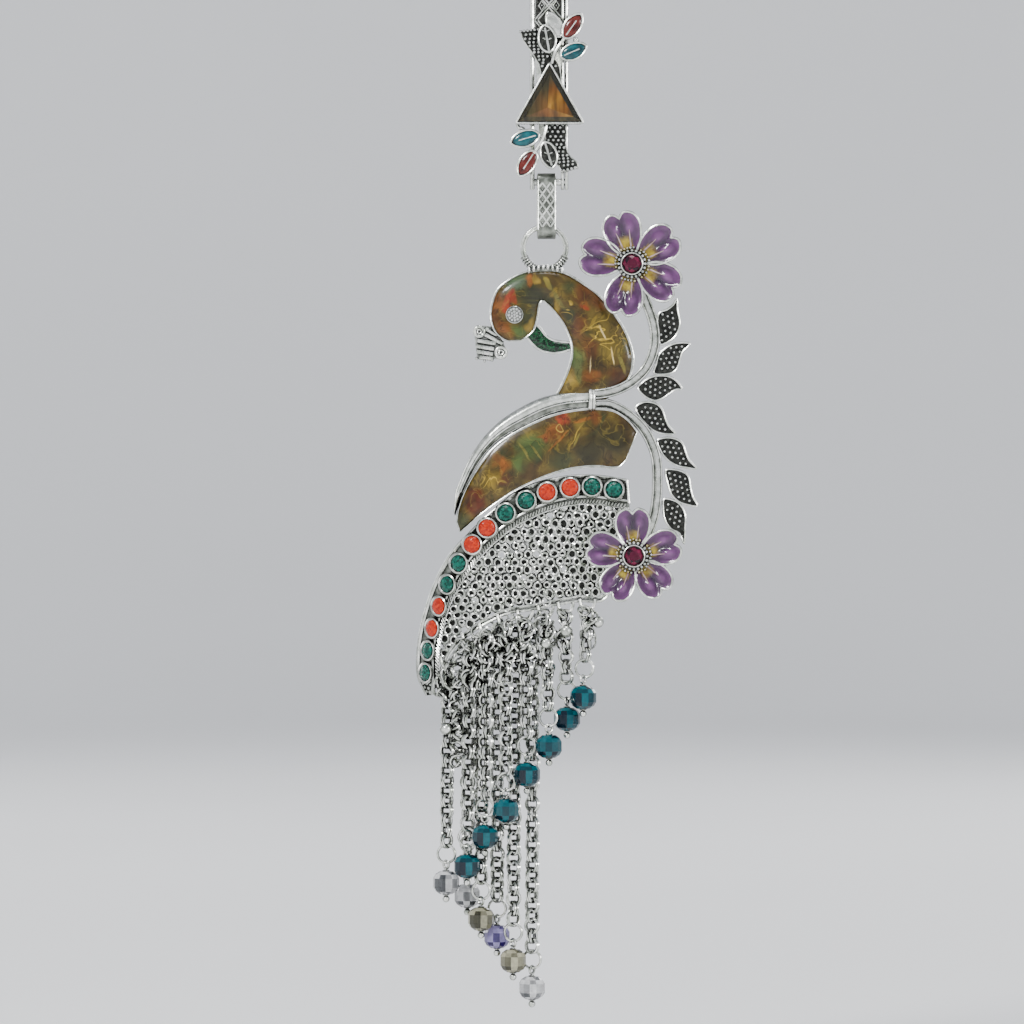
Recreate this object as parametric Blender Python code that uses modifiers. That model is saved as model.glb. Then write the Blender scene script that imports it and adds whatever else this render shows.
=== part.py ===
"""Hair bun pin: a hook bar, a strip bail and a peacock pendant with a chain fringe.

Shapes are drawn in millimetres in the XZ plane, front towards -Y, and each finished
piece is scaled to metres. The origin is the inside of the hook's bend.
"""

import math

import bmesh
import bpy
from mathutils import Matrix, Vector

MM = 0.001
SOLVER = "MANIFOLD"  # for the castings, where the exact solver leaves open edges
GAP = 0.25  # clearance between two pieces
FLAT_ANGLE = 0.5  # degrees

# Hook bar
BAR_HALF_WIDTH = 3.8
BAR_FRONT, BAR_BACK = -3.4, -2.4
BAR_END = -47.0
PANEL_END = -18.4
HOOK_RADIUS = 2.4
PRONG_THICKNESS = 0.9
PRONG_START, PRONG_END = -3.4, -40.0
PRONG_TAPER, PRONG_TIP, PRONG_POINT = 1.8, 1.0, 2.0  # half widths, and the point's length
RAIL_WIDTH = 1.0
RAIL_RISE = 0.5
GROOVE, GROOVE_DEPTH = (3.2, 3.42), 0.35  # x range of the line that splits the right rail
LATTICE_TOP, LATTICE_PITCH, LATTICE_REACH, LATTICE_WIRE = -4.0, 6.5, 3.1, 0.36
LATTICE_BOSS = ((0, 0.35), (0.75, 0), (0, -0.4))  # radius, height
BOSS_X = 1.5
TRUNK_FRONT, TRUNK_EDGE = -4.3, (0.5, 0.4)
MOTIF_BACK, TWIG_RADIUS = -3.7, 0.42
TWIGS = (  # x, y, z
    ((0.5, -4.9, -21.8), (1.2, -5.1, -19.6), (2.9, -4.9, -16.9)),
    ((-0.4, -4.9, -33.2), (-1.0, -5.2, -36.2), (-1.7, -5.1, -37.8), (-3.0, -4.9, -39.8)),
    ((1.6, -4.7, -18.9), (2.6, -4.7, -20.3)), ((-1.1, -5.0, -36.6), (-2.2, -4.9, -36.1)),
)

# Hinges, both along X
BAIL_AXIS = (-0.5, -2.9, -45.4)
RING_AXIS = (-0.9, -2.9, -54.3)
CROSS_BAR_RADIUS = 0.7
BAIL_HALF_WIDTH = 1.9
BAIL_INNER = 1.2
BAIL_STRIP = 0.6
BAIL_BOTTOM = -56.2

# Pendant
RING_RADIUS = 4.3
RING_WIRE = 0.6
BACK = -2.1
NECK_FRONT, NECK_FLOOR = -4.3, 1.0
WALL = 0.5
WING_RECESS = 1.2
BEAK_FRONT, BEAK_WALL, BEAK_RECESS = -4.0, 0.35, 0.9
SPRAY_BACK, SPRAY_FRONT = -2.4, -3.7
BRANCH_FRONT, BRANCH_EDGE = -4.9, (0.7, 0.6)
FORK_RADIUS, FORK_Y = 0.92, -3.3
COLLAR, COLLAR_RADIUS, COLLAR_HALF_HEIGHT = (8.6, -3.6, -88.8), 1.6, 2.2
FOOT = ((-4.0, -63.4), (-3.2, -62.0), (-0.8, -62.4), (1.6, -62.0), (2.6, -63.2), (-0.8, -63.2))
FOOT_FRONT, FOOT_EDGE = -4.2, (0.4, 0.3)
EYE = (-6.9, -72.0)
EYE_Y, EYE_POST, EYE_POST_RADIUS, EYE_SEAT = -4.1, (1.1, -1.2), 1.5, 1.9
EYE_STONE = 1.65
CREST_Y, CREST_COIL_WIRE, CREST_ROW_WIRE, CREST_EDGE_WIRE = -3.2, 0.34, 0.5, 0.42
CREST_COILS = ((-14.1, -75.4, 1.1), (-9.8, -79.4, 1.25))  # x, z, radius
CREST_ROWS = (  # left x, left z, right x, right z
    (-12.9, -75.0, -9.4, -78.0), (-13.9, -76.9, -10.6, -78.5),
    (-14.4, -78.6, -10.9, -79.4), (-13.9, -80.4, -10.8, -80.2),
)
SWEEP_START, SWEEP = -13.0, 0.048  # the tail bends back to lie round the bun
FOLDS = (-13.2, -16.2)
FLOWER_BACK, FLOWER_THICKNESS, FLOWER_CUP = -4.7, 1.1, 1.3
PETAL_WALL = 0.4
FLOWER_DEPTH, BEZEL_RADIUS, BEZEL_HOLE = 0.6, 3.1, 2.0
BEZEL_BACK, BEZEL_RISE = 0.3, 1.9  # before the flower's back
HEART, HEART_RECESS, HEART_ENAMEL = 4.8, 4.6, 4.35  # radii of the disc under the petals
STONE_RADIUS = 1.7
PAVILION, CROWN = 0.55, 0.75  # depths of a stone below and above its girdle
COLLET_RADIUS, COLLET_BACK, COLLET_RISE = 2.15, 1.3, 0.4
TAIL_FRONT = -3.0
BAND_FRONT = -3.6
ROPE_RADIUS = 0.55
HOLE_RADIUS, HOLE_PITCH, HOLE_MARGIN, GRID_TURN = 0.95, 3.05, 0.75, 0.13
GRID_LEFT, GRID_TOP, GRID_COUNT = -50.0, -95.0, 40

# Chains and beads
LINK_RADIUS, LINK_WIRE, LINK_PITCH = 1.2, 0.26, 2.04
LINK_OVERLAP = 1.6 * LINK_WIRE  # how far one ring's wire reaches into the next ring
JUMP_RADIUS = 1.7
EYE_RADIUS = 0.75
LOOP_RADIUS, LOOP_WIRE = 1.25, 0.32
STRAND_TUBE, PIN_WIRE, PIN_HOLE, PIN_BALL = 0.8, 0.3, 0.58, 0.8
BEAD_RADIUS, BEAD_HALF_HEIGHT, BEAD_END = 2.7, 2.3, 1.1
LINK_STRANDS = 1

SILVER = (0.62, 0.62, 0.59)
NECK_ROWS = (  # outer x, outer z, inner x, inner z, from the cheek to the branch
    (-9.2, -76.6, -4.6, -76.4), (-11.1, -74.8, -2.9, -74.8), (-11.8, -71.8, -2.2, -72.4),
    (-10.8, -67.6, -1.9, -70.2), (-8.4, -65.2, -1.6, -69.4), (-5.0, -63.5, -1.1, -69.2),
    (-0.7, -62.9, -0.4, -69.8), (3.4, -63.7, 0.6, -70.8), (7.0, -65.8, 1.7, -72.2),
    (10.2, -68.2, 2.8, -73.8), (13.0, -71.6, 3.8, -76.0), (15.2, -75.0, 4.4, -78.0),
    (16.6, -78.6, 4.4, -80.4), (16.9, -81.8, 3.7, -83.0), (15.8, -85.0, 2.7, -85.4),
    (11.4, -89.4, 0.8, -89.2),
)
WING_ROWS = (  # upper x, upper z, lower x, lower z, from the tail tip to the shoulder
    (-18.5, -113.4, -17.8, -115.4), (-18.1, -110.8, -16, -113.9), (-17, -107.65, -14.2, -112.3),
    (-15.5, -104.65, -12, -110.6), (-13.6, -101.65, -9.6, -108.9), (-11.2, -98.65, -7, -107.3),
    (-7.8, -96.05, -4, -105.8), (-3.8, -93.85, -0.8, -104.4), (0.4, -92.05, 2.6, -103.3),
    (4.6, -91.05, 6.2, -102.6), (8.8, -90.65, 9.8, -102.4), (12.8, -91.05, 12.4, -102.7),
    (15.8, -93, 14, -102.4), (17.6, -95.4, 15.4, -101),
)
BRANCH_ROWS = (  # outer x, outer z, inner x, inner z, from the tip to the collar
    (-19.1, -110.4, -18.6, -111.4), (-18.6, -107.6, -17.4, -108.4),
    (-17.8, -104.8, -16.1, -105.4), (-16.5, -101.8, -14.6, -102.6),
    (-14.8, -98.8, -12.8, -100.0), (-12.6, -95.9, -10.6, -97.7), (-9.8, -93.2, -7.8, -95.8),
    (-6.2, -90.8, -4.5, -94.2), (-2.2, -88.8, -1.0, -92.5), (1.4, -87.8, 2.6, -91.3),
    (5.0, -87.1, 5.6, -91.0), (8.6, -86.6, 8.6, -91.0),
)
BEAK_ROWS = (  # upper x, upper z, lower x, lower z, from the cheek to the tip
    (-2.6, -73.8, -4.6, -76.2), (-1.6, -74.9, -3.2, -77.9), (-0.7, -76.1, -1.6, -79.1),
    (0.7, -77.0, 0.6, -79.6), (2.2, -77.3, 2.8, -79.4), (4.2, -77.5, 4.6, -78.8),
)
UPPER_FORK = (  # x, z
    (7.6, -87.7), (11.6, -87.2), (14.8, -86.3), (17.6, -84.7), (19.6, -82.4), (20.6, -79.5),
    (20.9, -76.6), (20.6, -73.2), (19.6, -69.6), (17.6, -65.0),
)
LOWER_FORK = (  # x, z
    (7.6, -89.9), (11.6, -89.8), (13.8, -90.6), (16.2, -92.1), (18.6, -94.4), (20.2, -97.0),
    (21.4, -100.4), (21.7, -104.6), (21.5, -109.2), (20.6, -113.6), (18.2, -119.0),
)
STONE_CUP_FRONT, STONE_CUP_DEPTH = -6.0, 1.3
LEAF_RIM, LEAF_DEPTH = 0.38, 0.45
SPRAY_LEAVES = (  # base x, base z, tip x, tip z, half width, bow to the left
    (20.9, -79.6, 25.8, -69.2, 2.1, 0.5), (19.8, -83.8, 28.1, -77.8, 2.0, 0.6),
    (16.4, -85.6, 26.6, -86.8, 2.2, 0.7), (16.4, -91.4, 25.2, -95.7, 2.2, 1.1),
    (20.2, -96.6, 29.4, -102.8, 2.1, 0.9), (21.4, -102.2, 29.4, -110.0, 2.2, 0.9),
    (21.4, -108.2, 27.4, -117.8, 2.2, 1.2),
)
MOTIF_LEAVES = (  # name, base x, base z, tip x, tip z, half width, front y, enamel
    ("upper_dark", 0.1, -19.8, -1.0, -13.9, 1.7, -5.5, None),
    ("upper_bright", 2.4, -16.6, -0.4, -11.4, 1.4, -4.9, None),
    ("upper_red", 2.9, -16.9, 6.6, -11.7, 1.6, -5.3, (0.16, 0.02, 0.02)),
    ("upper_teal", 2.2, -20.6, 7.8, -18.2, 1.6, -5.5, (0.02, 0.12, 0.14)),
    ("lower_teal", -1.8, -36.0, -8.0, -37.8, 1.6, -5.5, (0.02, 0.16, 0.18)),
    ("lower_dark", -0.9, -37.4, 0.8, -43.1, 1.6, -5.5, None),
    ("lower_red", -2.7, -39.2, -6.2, -44.6, 1.6, -5.3, (0.13, 0.02, 0.02)),
)
TRUNK_ROWS = (  # z, left x, right x
    (-15.4, -5.7, -2.2), (-17.0, -5.2, -1.6), (-18.4, -4.2, -0.8), (-20.2, -3.0, 0.4),
    (-22.6, -1.8, 2.0), (-27.0, -1.2, 2.6), (-34.6, -1.0, 3.4), (-38.0, -0.4, 3.4),
    (-40.0, 0.6, 4.0), (-42.0, 1.8, 5.6), (-43.2, 2.6, 5.2),
)
TRIANGLE = ((0.1, -21.4), (-6.7, -33.4), (6.9, -33.4))  # x, z
FLOWERS = (  # name, x, z, scale, turn of the first petal in degrees
    ("flower_upper", 16.5, -61.9, 1.0, 105), ("flower_lower", 16.9, -120.2, 0.9, 91),
)
HALF_PETAL = (  # along the petal, across it, from under the bezel to the notch
    (2.2, 1.5), (4.2, 3.0), (6.2, 3.75), (8.2, 3.85), (10.0, 3.1), (11.0, 1.6),
)
PETAL_NOTCH = 9.8
BAND_ROWS = (  # outer x, outer z, inner x, inner z, from the right end to the tail tip
    (15.6, -105.0, 16.0, -109.6), (12.0, -104.4, 12.8, -109.2), (8.9, -104.1, 9.6, -108.7),
    (5.4, -104.1, 6.2, -108.7), (2.2, -104.5, 3.2, -109.1), (-0.8, -105.1, 0.4, -109.8),
    (-3.6, -106.0, -2.2, -110.7), (-6.6, -107.4, -5.0, -112.0), (-9.8, -109.9, -7.7, -113.6),
    (-13.2, -112.9, -10.6, -115.8), (-16.0, -115.7, -13.6, -118.6),
    (-18.8, -118.6, -16.4, -122.0), (-21.1, -122.0, -18.8, -125.6),
    (-23.2, -126.4, -20.8, -129.8), (-24.8, -131.0, -22.0, -133.6),
    (-25.9, -135.2, -22.8, -138.2), (-26.5, -139.6, -23.1, -141.4),
    (-26.4, -144.6, -23.1, -145.2), (-24.6, -148.4, -23.4, -148.2),
)
BAND_STONES = (  # x, z, coral or emerald, from the right
    (13.0, -106.9, "emerald"), (8.6, -106.3, "emerald"), (4.2, -106.5, "coral"),
    (-0.4, -107.4, "coral"), (-4.6, -109.1, "emerald"), (-8.7, -111.6, "emerald"),
    (-12.4, -114.6, "coral"), (-15.4, -117.9, "coral"), (-18.2, -121.7, "emerald"),
    (-20.5, -125.9, "emerald"), (-22.2, -130.3, "coral"), (-23.6, -134.8, "coral"),
    (-24.5, -139.3, "emerald"), (-25.0, -143.8, "emerald"),
)
TAIL_LOWER = (  # x, z of the filigree's free edge, from the right
    (15.2, -112.0), (13.4, -121.0), (11.4, -128.6), (6.0, -129.2), (1.0, -130.0),
    (-4.0, -131.0), (-8.0, -131.6), (-11.6, -133.2), (-15.1, -135.2), (-18.2, -137.8),
    (-20.4, -140.8), (-22.0, -144.4),
)
FRONT_STRANDS = (  # loop x, loop z, bead x, bead y, bead z, colour
    (7.7, -129.9, 6.8, -5.1, -148.4, "teal"), (3.3, -130.5, 3.6, -3.0, -152.8, "teal"),
    (-0.7, -131.2, 0.0, -4.9, -158.2, "teal"), (-4.8, -132.1, -4.4, -4.9, -163.8, "teal"),
    (-8.8, -132.9, -8.6, -4.9, -171.0, "teal"), (-12.4, -134.6, -12.8, -4.9, -176.2, "teal"),
    (-15.8, -136.8, -16.4, -3.9, -182.2, "teal"), (-20.2, -141.4, -20.6, -4.9, -185.6, "clear"),
)
BACK_STRANDS = (  # top x, top z, bead x, bead y, bead z, colour
    (-16.2, -138.0, -16.4, 1.6, -188.6, "clear"), (-13.4, -136.0, -13.6, -0.9, -193.0, "smoky"),
    (-10.2, -134.4, -10.4, 1.6, -196.8, "violet"), (-6.8, -133.2, -7.2, -0.9, -201.4, "smoky"),
    (-3.2, -132.6, -3.4, 0.8, -207.0, "clear"),
)
FRONT_TOP_Y, BACK_TOP_Y = -3.2, -1.0


def clear_scene():
    for obj in list(bpy.data.objects):
        bpy.data.objects.remove(obj, do_unlink=True)


def new_collection(name):
    found = bpy.data.collections.new(name)
    bpy.context.scene.collection.children.link(found)
    return found


def material(name, colour, roughness=0.35, metallic=0.0):
    found = bpy.data.materials.get(name)
    if found is None:
        found = bpy.data.materials.new(name)
        found.use_nodes = True
        shader = found.node_tree.nodes["Principled BSDF"]
        shader.inputs["Base Color"].default_value = (*colour, 1)
        shader.inputs["Roughness"].default_value = roughness
        shader.inputs["Metallic"].default_value = metallic
    return found


# Working shapes, in millimetres

def add_object(mesh, name="shape"):
    obj = bpy.data.objects.new(name, mesh)
    bpy.context.scene.collection.objects.link(obj)
    return obj


def baked(obj):
    """The object's evaluated mesh in world space as a new object; the old one goes."""
    bpy.context.view_layer.update()
    graph = bpy.context.evaluated_depsgraph_get()
    mesh = bpy.data.meshes.new_from_object(obj.evaluated_get(graph), depsgraph=graph)
    mesh.transform(obj.matrix_world)
    made = bmesh.new()
    made.from_mesh(mesh)
    bmesh.ops.remove_doubles(made, verts=made.verts, dist=1e-4)
    bmesh.ops.recalc_face_normals(made, faces=made.faces)
    made.to_mesh(mesh)
    made.free()
    bpy.data.objects.remove(obj, do_unlink=True)
    return add_object(mesh)


def edited(obj, change):
    """Runs change(bmesh) on the object's mesh."""
    made = bmesh.new()
    made.from_mesh(obj.data)
    change(made)
    bmesh.ops.recalc_face_normals(made, faces=made.faces)
    made.to_mesh(obj.data)
    made.free()
    return obj


def plate(outlines, back, front):
    """A flat outline of (x, z) points, with holes after it, as thick as back to front."""
    curve = bpy.data.curves.new("outline", "CURVE")
    curve.dimensions = "2D"
    curve.fill_mode = "BOTH"
    curve.extrude = (back - front) / 2
    for outline in outlines:
        spline = curve.splines.new("POLY")
        spline.points.add(len(outline) - 1)
        for point, (x, z) in zip(spline.points, outline):
            point.co = (x, z, 0, 1)
        spline.use_cyclic_u = True
    obj = bpy.data.objects.new("outline", curve)
    bpy.context.scene.collection.objects.link(obj)
    obj.rotation_euler = (math.pi / 2, 0, 0)
    obj.location = (0, (back + front) / 2, 0)
    return baked(obj)


def front_face(made):
    """One face in place of the front's triangles."""
    front = min(vert.co.y for vert in made.verts)
    faces = [f for f in made.faces if all(abs(v.co.y - front) < 1e-3 for v in f.verts)]
    return bmesh.ops.dissolve_faces(made, faces=faces)["region"]


def domed(outline, back, front, steps):
    """A plate with its front raised inwards; steps are (inset, rise) pairs."""
    def change(made):
        faces = front_face(made)
        for inset, rise in steps:
            bmesh.ops.inset_region(
                made, faces=faces, thickness=inset, depth=rise, use_even_offset=True
            )
    return edited(plate([outline], back, front), change)


def wire(points, radius, closed=False, resolution=1, radii=None):
    """A wire through (x, y, z) points; radii are factors of the radius."""
    curve = bpy.data.curves.new("wire", "CURVE")
    curve.dimensions = "3D"
    curve.bevel_depth = radius
    curve.bevel_resolution = resolution
    curve.use_fill_caps = True
    spline = curve.splines.new("POLY")
    spline.points.add(len(points) - 1)
    for index, place in enumerate(points):
        spline.points[index].co = (*place, 1)
        spline.points[index].radius = radii[index] if radii else 1
    spline.use_cyclic_u = closed
    obj = bpy.data.objects.new("wire", curve)
    bpy.context.scene.collection.objects.link(obj)
    return baked(obj)


def turned(profile, sides, place, facing_front=True, squeeze=1.0):
    """A profile of (radius, height) turned about its axis."""
    mesh = bpy.data.meshes.new("profile")
    points = [(radius, 0, height) for radius, height in profile]
    closed = profile[0][0] > 0 and profile[-1][0] > 0
    edges = [(i, i + 1) for i in range(len(points) - 1)]
    if closed:
        edges.append((len(points) - 1, 0))
    mesh.from_pydata(points, edges, [])
    obj = add_object(mesh)
    screw = obj.modifiers.new("turn", "SCREW")
    screw.steps = screw.render_steps = sides
    screw.use_merge_vertices = True
    screw.merge_threshold = 1e-4
    if facing_front:
        obj.rotation_euler = (math.pi / 2, 0, 0)
    obj.scale = (squeeze, 1, 1)
    obj.location = place
    return baked(obj)


def torus(place, major, minor, turn, sides=10, wire_sides=5):
    """A ring standing upright, its plane turned about Z from the XZ plane."""
    bpy.ops.mesh.primitive_torus_add(
        major_segments=sides, minor_segments=wire_sides, major_radius=major,
        minor_radius=minor, location=place, rotation=(math.pi / 2, 0, turn),
    )
    return baked(bpy.context.object)


def box(low, high):
    bpy.ops.mesh.primitive_cube_add(size=1, location=[(a + b) / 2 for a, b in zip(low, high)])
    obj = bpy.context.object
    obj.scale = [b - a for a, b in zip(low, high)]
    return baked(obj)


def merge_flat_faces(made):
    """Takes out the points that a Boolean leaves within flat faces and straight edges."""
    bmesh.ops.dissolve_limit(
        made, angle_limit=math.radians(FLAT_ANGLE), verts=made.verts, edges=made.edges
    )
    bmesh.ops.triangulate(made, faces=made.faces)


def combined(pieces, operation="UNION", solver="EXACT"):
    """The first piece joined with, or cut by, the others."""
    base, others = pieces[0], pieces[1:]
    operands = bpy.data.collections.new("operands")
    bpy.context.scene.collection.children.link(operands)
    for other in others:
        operands.objects.link(other)
    boolean = base.modifiers.new("join", "BOOLEAN")
    boolean.operation = operation
    boolean.solver = solver
    boolean.operand_type = "COLLECTION"
    boolean.collection = operands
    result = edited(baked(base), merge_flat_faces)
    for other in others:
        bpy.data.objects.remove(other, do_unlink=True)
    bpy.data.collections.remove(operands)
    return result


def sweep_back(x):
    return SWEEP * max(0.0, SWEEP_START - x) ** 2


def swept(obj, cuts=()):
    """Bends the tail's side back, so that it lies round the bun; cuts are x values of folds."""
    def fold(made):
        for x in cuts:
            everything = made.verts[:] + made.edges[:] + made.faces[:]
            bmesh.ops.bisect_plane(made, geom=everything, plane_co=(x, 0, 0), plane_no=(1, 0, 0))

    edited(obj, fold)
    for vert in obj.data.vertices:
        vert.co.y += sweep_back(vert.co.x)
    return obj


def foreshortening(x):
    slope = 2 * SWEEP * max(0.0, SWEEP_START - x)
    return math.cos(math.atan(slope))


def finish(obj, name, look, pivot=None, smooth=True):
    """Names the piece, scales it to metres and hangs it on its joint's empty."""
    obj.data.transform(Matrix.Scale(MM, 4))
    obj.name = obj.data.name = name
    obj.data.materials.clear()
    obj.data.materials.append(look)
    if smooth:
        obj.data.shade_smooth()
        obj.data.set_sharp_from_angle(angle=math.radians(35))
    bpy.context.scene.collection.objects.unlink(obj)
    parts.objects.link(obj)
    if pivot is not None:
        obj.parent = pivot
        obj.matrix_parent_inverse = Matrix.Translation(pivot.location).inverted()
    return obj


def pivot_empty(name, place):
    empty = bpy.data.objects.new(name, None)
    empty.location = Vector(place) * MM
    empty.empty_display_size = 5 * MM
    parts.objects.link(empty)
    return empty


# Outlines

def rows_outline(rows):
    """One edge of the rows, then the other edge back."""
    return [row[:2] for row in rows] + [row[2:] for row in reversed(rows)]


def inset_rows(rows, inset):
    """Rows drawn in from both edges and both ends by the inset."""
    drawn = []
    for index, (ax, az, bx, bz) in enumerate(rows):
        across = Vector((bx - ax, bz - az))
        side = across.normalized() * min(inset, across.length * 0.35)
        along = Vector((0, 0))
        if index in (0, len(rows) - 1):
            near = rows[1] if index == 0 else rows[-2]
            middle = Vector(((near[0] + near[2] - ax - bx) / 2, (near[1] + near[3] - az - bz) / 2))
            along = middle.normalized() * inset
        drawn.append((ax + side.x + along.x, az + side.y + along.y,
                      bx - side.x + along.x, bz - side.y + along.y))
    return drawn


def leaf_outline(base, tip, half_width, bow=0.0, shrink=0.0):
    """A pointed leaf from base to tip, bowed to one side, drawn in by shrink."""
    start, end = Vector(base), Vector(tip)
    along = (end - start).normalized()
    across = Vector((-along.y, along.x))
    length = (end - start).length
    widths = ((0.0, 0.0), (0.14, 0.5), (0.34, 0.9), (0.55, 1.0), (0.78, 0.66), (1.0, 0.0))
    sides = []
    for side in (1, -1):
        for share, width in widths[:-1] if side > 0 else widths[:0:-1]:
            reach = shrink * 1.6 + share * (length - shrink * 3.8)
            middle = bow * math.sin(math.pi * share)
            offset = width * (half_width - shrink) * side + middle
            sides.append(tuple(start + along * reach + across * offset))
    return sides


def petal_outline(flower, petal, shrink=0.0):
    """One heart-shaped petal, drawn in by shrink."""
    _, x, z, scale, turn = flower
    angle = math.radians(turn - 72 * petal)
    along = Vector((math.cos(angle), math.sin(angle)))
    across = Vector((along.y, -along.x))
    half = [(u - shrink * (u - 4) / 5, v - shrink) for u, v in HALF_PETAL]
    whole = [(u, -v) for u, v in half] + [(PETAL_NOTCH - shrink * 1.3, 0)]
    whole += [(u, v) for u, v in reversed(half)]
    return [tuple(Vector((x, z)) + (along * u + across * v) * scale) for u, v in whole]


def inside_by(point, outline):
    """How far a point lies inside an outline, negative outside."""
    x, z = point
    inside = False
    nearest = 1e9
    for (ax, az), (bx, bz) in zip(outline, outline[1:] + outline[:1]):
        if (az > z) != (bz > z) and x < ax + (z - az) * (bx - ax) / (bz - az):
            inside = not inside
        edge = Vector((bx - ax, bz - az))
        offset = Vector((x - ax, z - az))
        share = min(1, max(0, offset.dot(edge) / edge.length_squared))
        nearest = min(nearest, (offset - edge * share).length)
    return nearest if inside else -nearest


# The hook

def hook_profile():
    """The strip's side outline: front run, bend and back prong, as (y, z)."""
    outer = HOOK_RADIUS + PRONG_THICKNESS
    bend = [math.pi * step / 8 for step in range(9)]
    over = [(-outer * math.cos(a), -HOOK_RADIUS + outer * math.sin(a)) for a in bend]
    under = [(-HOOK_RADIUS * math.cos(a), -HOOK_RADIUS + HOOK_RADIUS * math.sin(a)) for a in bend]
    return over + [(outer, -4.0), (HOOK_RADIUS, -4.0)] + under[::-1] + [
        (BAR_BACK, PANEL_END), (-outer, PANEL_END)]


def side_plate(outline, low_x, high_x):
    """A (y, z) outline as thick as low_x to high_x."""
    obj = plate([outline], -low_x, -high_x)
    obj.data.transform(Matrix.Rotation(math.pi / 2, 4, "Z"))
    return obj


def leaf_shapes(base, tip, half_width, back, front, bow=0.0):
    """A leaf's plate, and the recess inside its rim."""
    whole = plate([leaf_outline(base, tip, half_width, bow)], back, front)
    recess = leaf_outline(base, tip, half_width, bow, LEAF_RIM)
    return whole, plate([recess], front + LEAF_DEPTH, front - 1)


def hook_bar():
    pieces = [side_plate(hook_profile(), -BAR_HALF_WIDTH, BAR_HALF_WIDTH)]
    prong_back = HOOK_RADIUS + PRONG_THICKNESS
    right = [(BAR_HALF_WIDTH, PRONG_START), (PRONG_TAPER, PRONG_END + PRONG_POINT),
             (PRONG_TIP, PRONG_END)]
    left = [(-x, z) for x, z in reversed(right)]
    pieces.append(plate([right + left], prong_back, HOOK_RADIUS))
    rail_front = BAR_FRONT - RAIL_RISE
    for side in (-1, 1):
        inner, outer = side * (BAR_HALF_WIDTH - RAIL_WIDTH), side * BAR_HALF_WIDTH
        pieces.append(box((min(inner, outer), rail_front, BAR_END),
                          (max(inner, outer), BAR_BACK, -HOOK_RADIUS)))
    groove = box((GROOVE[0], rail_front - 1, BAR_END - 1), (GROOVE[1], rail_front + GROOVE_DEPTH, 1))
    bar = combined([combined(pieces, solver=SOLVER), groove], "DIFFERENCE", SOLVER)
    _, axis_y, axis_z = BAIL_AXIS
    cross = [(-BAR_HALF_WIDTH + 0.3, axis_y, axis_z), (BAR_HALF_WIDTH - 0.3, axis_y, axis_z)]
    added = [wire(cross, CROSS_BAR_RADIUS, resolution=2)]
    half = BAR_HALF_WIDTH - RAIL_WIDTH + 0.1
    for row in range(2):
        middle = LATTICE_TOP - LATTICE_PITCH * row
        for side in (-1, 1):
            ends = [(-half * side, BAR_FRONT, middle - LATTICE_REACH),
                    (half * side, BAR_FRONT, middle + LATTICE_REACH)]
            added.append(wire(ends, LATTICE_WIRE, resolution=0))
            added.append(turned(LATTICE_BOSS, 4, (side * BOSS_X, BAR_FRONT, middle)))
    left = [(row[1], row[0]) for row in TRUNK_ROWS]
    right = [(row[2], row[0]) for row in TRUNK_ROWS]
    added.append(domed(left + right[::-1], BAR_FRONT + 0.3, TRUNK_FRONT, [TRUNK_EDGE]))
    added.append(plate([TRIANGLE], BAR_FRONT + 0.2, STONE_CUP_FRONT))
    recesses = [plate([shrunk_triangle(WALL)], STONE_CUP_FRONT + STONE_CUP_DEPTH, -9)]
    for _, bx, bz, tx, tz, half_width, front, _ in MOTIF_LEAVES:
        leaf, recess = leaf_shapes((bx, bz), (tx, tz), half_width, MOTIF_BACK, front)
        added.append(leaf)
        recesses.append(recess)
    added += [wire(twig, TWIG_RADIUS) for twig in TWIGS]
    return combined([combined([bar, *added], solver=SOLVER), *recesses], "DIFFERENCE", SOLVER)


def shrunk_triangle(inset):
    """The stone cup's outline drawn in by the inset from each side."""
    corners = [Vector(corner) for corner in TRIANGLE]
    sides = [(corners[(k + 1) % 3] - corners[k]).length for k in range(3)]
    centre = sum((corners[(k + 2) % 3] * sides[k] for k in range(3)), Vector((0, 0))) / sum(sides)
    area = abs((corners[1] - corners[0]).cross(corners[2] - corners[0])) / 2
    inner_radius = 2 * area / sum(sides)
    return [tuple(centre + (corner - centre) * (1 - inset / inner_radius)) for corner in corners]


def triangle_stone():
    """A step-cut triangle: girdle, two crown steps and a table."""
    back = STONE_CUP_FRONT + STONE_CUP_DEPTH - GAP
    return domed(shrunk_triangle(WALL + GAP), back, STONE_CUP_FRONT, [(0.7, 0.55), (0.9, 0.45)])


def leaf_enamel(base, tip, half_width, front):
    outline = leaf_outline(base, tip, half_width, shrink=LEAF_RIM + GAP)
    return domed(outline, front + LEAF_DEPTH - 0.2, front, [(0.25, 0.15)])


# The bail

def bail():
    """The strip's closed loop round the cross bar and the ring's wire."""
    _, y, top = BAIL_AXIS
    bottom = BAIL_BOTTOM + BAIL_INNER
    half = [math.pi * step / 8 for step in range(9)]

    def loop(radius):
        over = [(y + radius * math.cos(a), top + radius * math.sin(a)) for a in half]
        return over + [(y - radius * math.cos(a), bottom - radius * math.sin(a)) for a in half]

    x = BAIL_AXIS[0]
    obj = plate([loop(BAIL_INNER + BAIL_STRIP), loop(BAIL_INNER)],
                BAIL_HALF_WIDTH - x, -BAIL_HALF_WIDTH - x)
    obj.data.transform(Matrix.Rotation(math.pi / 2, 4, "Z"))
    return obj


# The pendant

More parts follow.
